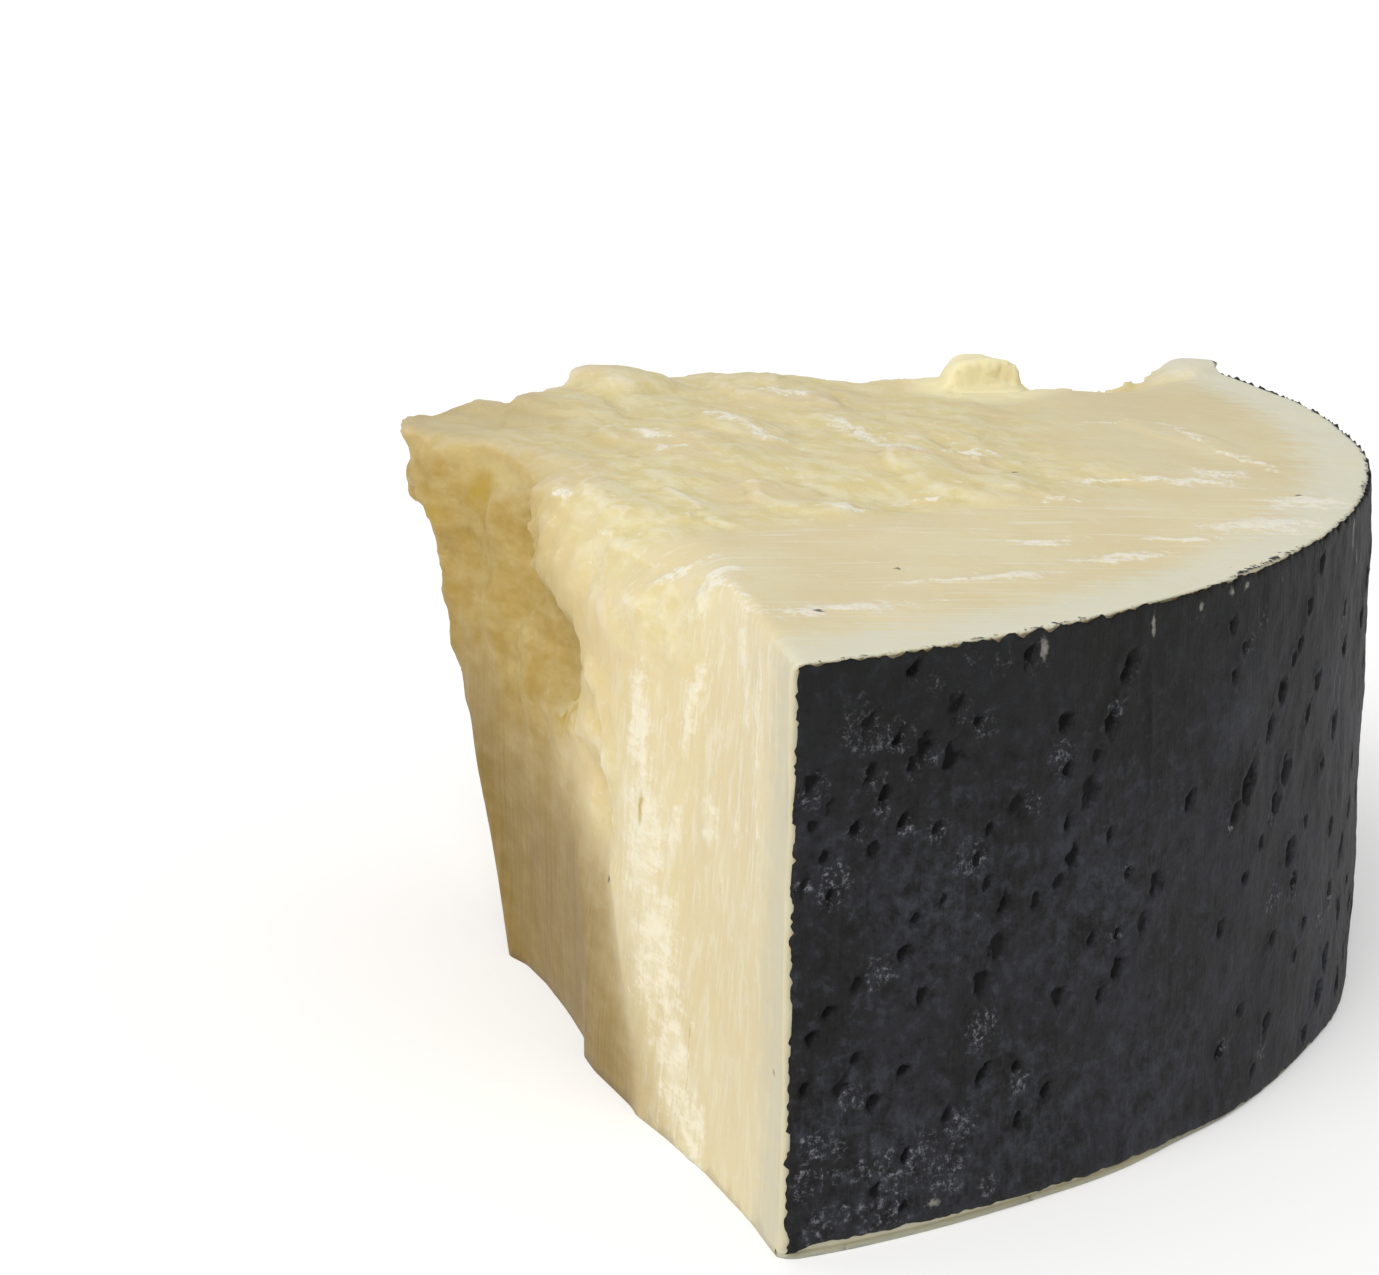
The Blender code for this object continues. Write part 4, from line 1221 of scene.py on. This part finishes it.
def pit_places():
    """All pits, as angle, height, radius and depth."""
    rng = np.random.default_rng(11)
    spots = list(PITS)
    lowest, highest, apart = ROW_HEIGHTS
    for row, degrees in enumerate(np.arange(*ROW_TURNS)):
        for up in np.arange(lowest + ROW_SHIFT * (row % 2), highest, apart):
            if rng.random() < PIT_CHANCE:
                spots.append((degrees + 0.08 * up - 3.0 + 1.6 * rng.random(), up + 5.0 * rng.random() - 2.5))
    return [(math.radians(degrees), up, 0.6 + 0.75 * rng.random() ** 1.5, 0.5 + 0.7 * rng.random())
            for degrees, up in spots]


def gathered(angle, up, spots):
    """A soft field that is 1 in the middle of each spot."""
    field = np.zeros(len(angle))
    for degrees, height, reach in spots:
        away = np.hypot((angle - math.radians(degrees)) * WHEEL_RADIUS, up - height) / reach
        field = np.maximum(field, np.exp(-away ** 2))
    return field


def uneven(places, kinds):
    """Noise of several heights and sizes, added up."""
    return sum(height * noise_at(places / size) for height, size in kinds)


def on_wheel(angle, radius, up):
    """Places at angles about the wheel's axis, a distance from it and heights."""
    return np.column_stack((np.cos(angle) * radius, np.sin(angle) * radius, up))


columns = int(WHEEL_RADIUS * (FAR_ANGLE - NEAR_CORNER_ANGLE) / RIND_STEP)
rows = int(CHUNK_HEIGHT / RIND_STEP)
share_up = np.linspace(0.0, 1.0, rows + 1)
share_round = np.linspace(0.0, 1.0, columns + 1)
guess_angles = NEAR_CORNER_ANGLE + share_round * (FAR_ANGLE - NEAR_CORNER_ANGLE)
guess_lengths = guess_angles * WHEEL_RADIUS
side_heights = share_up * CHUNK_HEIGHT
tops = np.array([rind_top(max(angle, NEAR_CORNER_ANGLE + START_INSET)) for angle in guess_angles])
tops = np.where(guess_angles > FAR_START, windowed(windowed(tops, np.max), np.min), tops)
tops = tops - nibbles(guess_lengths, *TOP_NIBBLES) + TOP_RAISED
feet = edge_at(RIND_FOOT, np.degrees(guess_angles)) + nibbles(guess_lengths, *FOOT_NIBBLES)
start_nibbles = sum(nibbles(side_heights, *kind) for kind in START_NIBBLES)
starts = near_angle(side_heights) + start_nibbles / WHEEL_RADIUS
ends = windowed(np.array([rind_end(up) for up in np.clip(side_heights, *END_HEIGHTS)]), np.mean)
ends = ends - nibbles(side_heights, *END_NIBBLES) / WHEEL_RADIUS

angle = starts[:, None] + share_round[None, :] * (ends - starts)[:, None]
top_here = np.interp(angle, guess_angles, tops)
foot_here = np.interp(angle, guess_angles, feet)
up = foot_here + share_up[:, None] * (top_here - foot_here)
turns, heights = angle.ravel(), up.ravel()
flat = on_wheel(turns, WHEEL_RADIUS, heights)
from_edge = np.minimum.reduce([up - foot_here, top_here - up, (angle - starts[:, None]) * WHEEL_RADIUS,
                               (ends[:, None] - angle) * WHEEL_RADIUS]).ravel()

inland = smooth(*INLAND, from_edge)
stand = uneven(flat, (RIND_WAVES,)) + inland * uneven(flat, COAT_DENTS)
stand += (0.4 + 0.6 * inland) * uneven(flat, COAT_GRAIN)
lip_height, lip_at, lip_width = PIT_LIP
pit_shade_field = np.zeros(len(flat))
for pit_angle, pit_up, radius, depth in pit_places():
    sideways = (turns - pit_angle) * WHEEL_RADIUS
    upwards = heights - pit_up
    near = np.nonzero(np.abs(sideways) + np.abs(upwards) < 8 * radius)[0]
    sideways, upwards = sideways[near], upwards[near]
    across = sideways * math.cos(PIT_LEAN) - upwards * math.sin(PIT_LEAN)
    lengthwise = (upwards * math.cos(PIT_LEAN) + sideways * math.sin(PIT_LEAN)) / PIT_STRETCH
    away = np.hypot(across, lengthwise) / radius + uneven(flat[near], PIT_RAGGED)
    hole = smooth(*PIT_WALL, away)
    lip = lip_height * np.exp(-((away - lip_at) / lip_width) ** 2)
    stand[near] += lip - depth * hole * smooth(*PIT_FADE, from_edge[near])
    pit_shade_field[near] = np.maximum(pit_shade_field[near], hole)
for degrees, low, high in SEAMS:
    on_line = np.column_stack((heights / SEAM_BEND_SIZE, heights * 0, heights * 0 + degrees))
    off = (turns - math.radians(degrees)) * WHEEL_RADIUS + SEAM_BEND * noise_at(on_line)
    length = smooth(low, low + SEAM_FADE, heights) * smooth(high, high - SEAM_FADE, heights)
    stand += SEAM_HEIGHT * np.exp(-(off / SEAM_WIDTH) ** 2) * length
stand -= THIN_EDGE * (1.0 - smooth(0.0, THIN_EDGE_WIDTH, from_edge))
stretch = 1 + stand / WHEEL_RADIUS
outer = flat * np.column_stack((stretch, stretch, np.ones(len(flat))))
rind_fields = {
    "pit": pit_shade_field,
    "specks": gathered(turns, heights, SPECKS),
    "haze": gathered(turns, heights, HAZE),
    "chip": patch_field(turns * WHEEL_RADIUS, heights, [
        (math.radians(degrees) * WHEEL_RADIUS, height, half_width, half_height, 0)
        for degrees, height, half_width, half_height in CHIPS]),
}

# The inner wall is a plain bent sheet, one face high, joined to the outer one along every edge.
width = columns + 1
tucked = (1.0 - 2.0 * share_round) * TUCK / WHEEL_RADIUS
inner_foot = on_wheel(angle[0] + tucked, RIND_INSIDE, up[0])
inner_top = on_wheel(angle[-1] + tucked, RIND_INSIDE, up[-1] - INSIDE_LOWER)
points = np.concatenate((outer, inner_foot, inner_top))
first_foot = len(outer)
first_top = first_foot + width
top_row = rows * width
faces = [(r * width + c, r * width + c + 1, (r + 1) * width + c + 1, (r + 1) * width + c)
         for r in range(rows) for c in range(columns)]
for c in range(columns):
    faces.append((first_foot + c, first_top + c, first_top + c + 1, first_foot + c + 1))
    faces.append((first_foot + c, first_foot + c + 1, c + 1, c))
    faces.append((top_row + c, top_row + c + 1, first_top + c + 1, first_top + c))
start_edge = [r * width for r in range(rows + 1)]
faces.append(start_edge + [first_top, first_foot])
faces.append([corner + columns for corner in start_edge[::-1] + [first_foot, first_top]])

rind_mesh = bpy.data.meshes.new("rind")
rind_mesh.from_pydata(points.tolist(), [], faces)
rind_mesh.update()
write_fields(rind_mesh, {
    name: np.concatenate((values, np.zeros(2 * width))) for name, values in rind_fields.items()})
rind = new_object("rind", rind_mesh)

COAT_BLACK = (0.0085, 0.0083, 0.0080, 1.0)
COAT_GREY = (0.0165, 0.0165, 0.0200, 1.0)
COAT_TOP = (0.0060, 0.0066, 0.0050, 1.0)
COAT_HAZE = (0.0380, 0.0405, 0.0520, 1.0)
# The darkest coat, also painted into the pits as shade.
DARK_COAT_AND_PIT_SHADE = (0.0030, 0.0030, 0.0032, 1.0)
SPECK_GREY = (0.24, 0.245, 0.27, 1.0)
CHIP_CREAM = (0.36, 0.345, 0.29, 1.0)


def look_of_rind(material):
    """Black paint with a greyer cloud, a bluish bloom, pale specks, cream chips, and pits darkened with
    painted shade.
    """
    graph, place, field = start_look(material, rind_fields)
    cloud = graph.noise(place, 0.06, 4.0, 0.6)
    mottle = graph.noise(place, 0.40, 5.0, 0.7)
    speckle = graph.noise(place, 1.15, 4.0, 0.75)
    fine = graph.noise(place, 4.0, 2.0, 0.6)
    streak = graph.streaks(place, (1.6, 1.6, 0.16), 4.0, 0.7)
    height_up = graph.node("ShaderNodeSeparateXYZ", {}, {"Vector": place}, output="Z")
    haze = field["haze"] * graph.step(0.34, 0.72, mottle + 0.5 * (speckle - 0.5) + 0.3 * (streak - 0.5))
    near_pit = graph.step(0.25, 0.75, field["specks"] + 1.7 * (mottle - 0.5))
    specks = graph.step(0.50, 0.66, speckle + 0.25 * (fine - 0.5)) * near_pit
    strays = graph.step(0.68, 0.76, speckle + 0.2 * (fine - 0.5)) * graph.step(0.45, 0.6, mottle)
    chip = graph.step(0.0, 0.8, field["chip"] + 2.2 * (mottle - 0.5) + 1.6 * (speckle - 0.5))
    colour = graph.layers(
        graph.mix(graph.step(0.38, 0.66, cloud + 0.35 * (mottle - 0.5)), COAT_BLACK, COAT_GREY),
        (0.6 * graph.step(0.48, 0.74, streak), COAT_GREY),
        (0.5 * graph.step(0.52, 0.66, mottle + 0.4 * (speckle - 0.5)), COAT_HAZE),
        (0.7 * graph.step(0.46, 0.34, mottle + 0.4 * (speckle - 0.5)), DARK_COAT_AND_PIT_SHADE),
        (0.75 * haze, COAT_HAZE),
        (0.7 * specks, SPECK_GREY),
        (0.5 * strays, SPECK_GREY),
        (0.55 * graph.step(52.0, 76.0, height_up + 30.0 * (cloud - 0.5)), COAT_TOP),
        # Painted shade in the pits.
        (0.9 * graph.step(0.2, 0.7, field["pit"]), DARK_COAT_AND_PIT_SHADE),
        (0.6 * chip, CHIP_CREAM),
    )
    height = 0.6 * mottle + 0.5 * speckle + 0.6 * streak + 0.3 * specks
    bump = graph.node("ShaderNodeBump", {}, {"Strength": 0.9, "Distance": 0.5 * MM, "Height": height})
    graph.fill(material.node_tree.nodes["Principled BSDF"], {
        "Base Color": colour,
        "Roughness": 0.58 + 0.25 * (mottle - 0.5) + 0.15 * specks,
        "Normal": bump,
        "Specular IOR Level": 0.17,
    })


rind_finish = new_finish("rind")
rind_mesh.materials.append(rind_finish)
look_of_rind(rind_finish)
finish_piece(rind)

# ---------------------------------------------------------------------------------------------
# The end: the copy of the paste's mesh that the rind was fitted to is removed.

bpy.data.meshes.remove(whole_mesh)
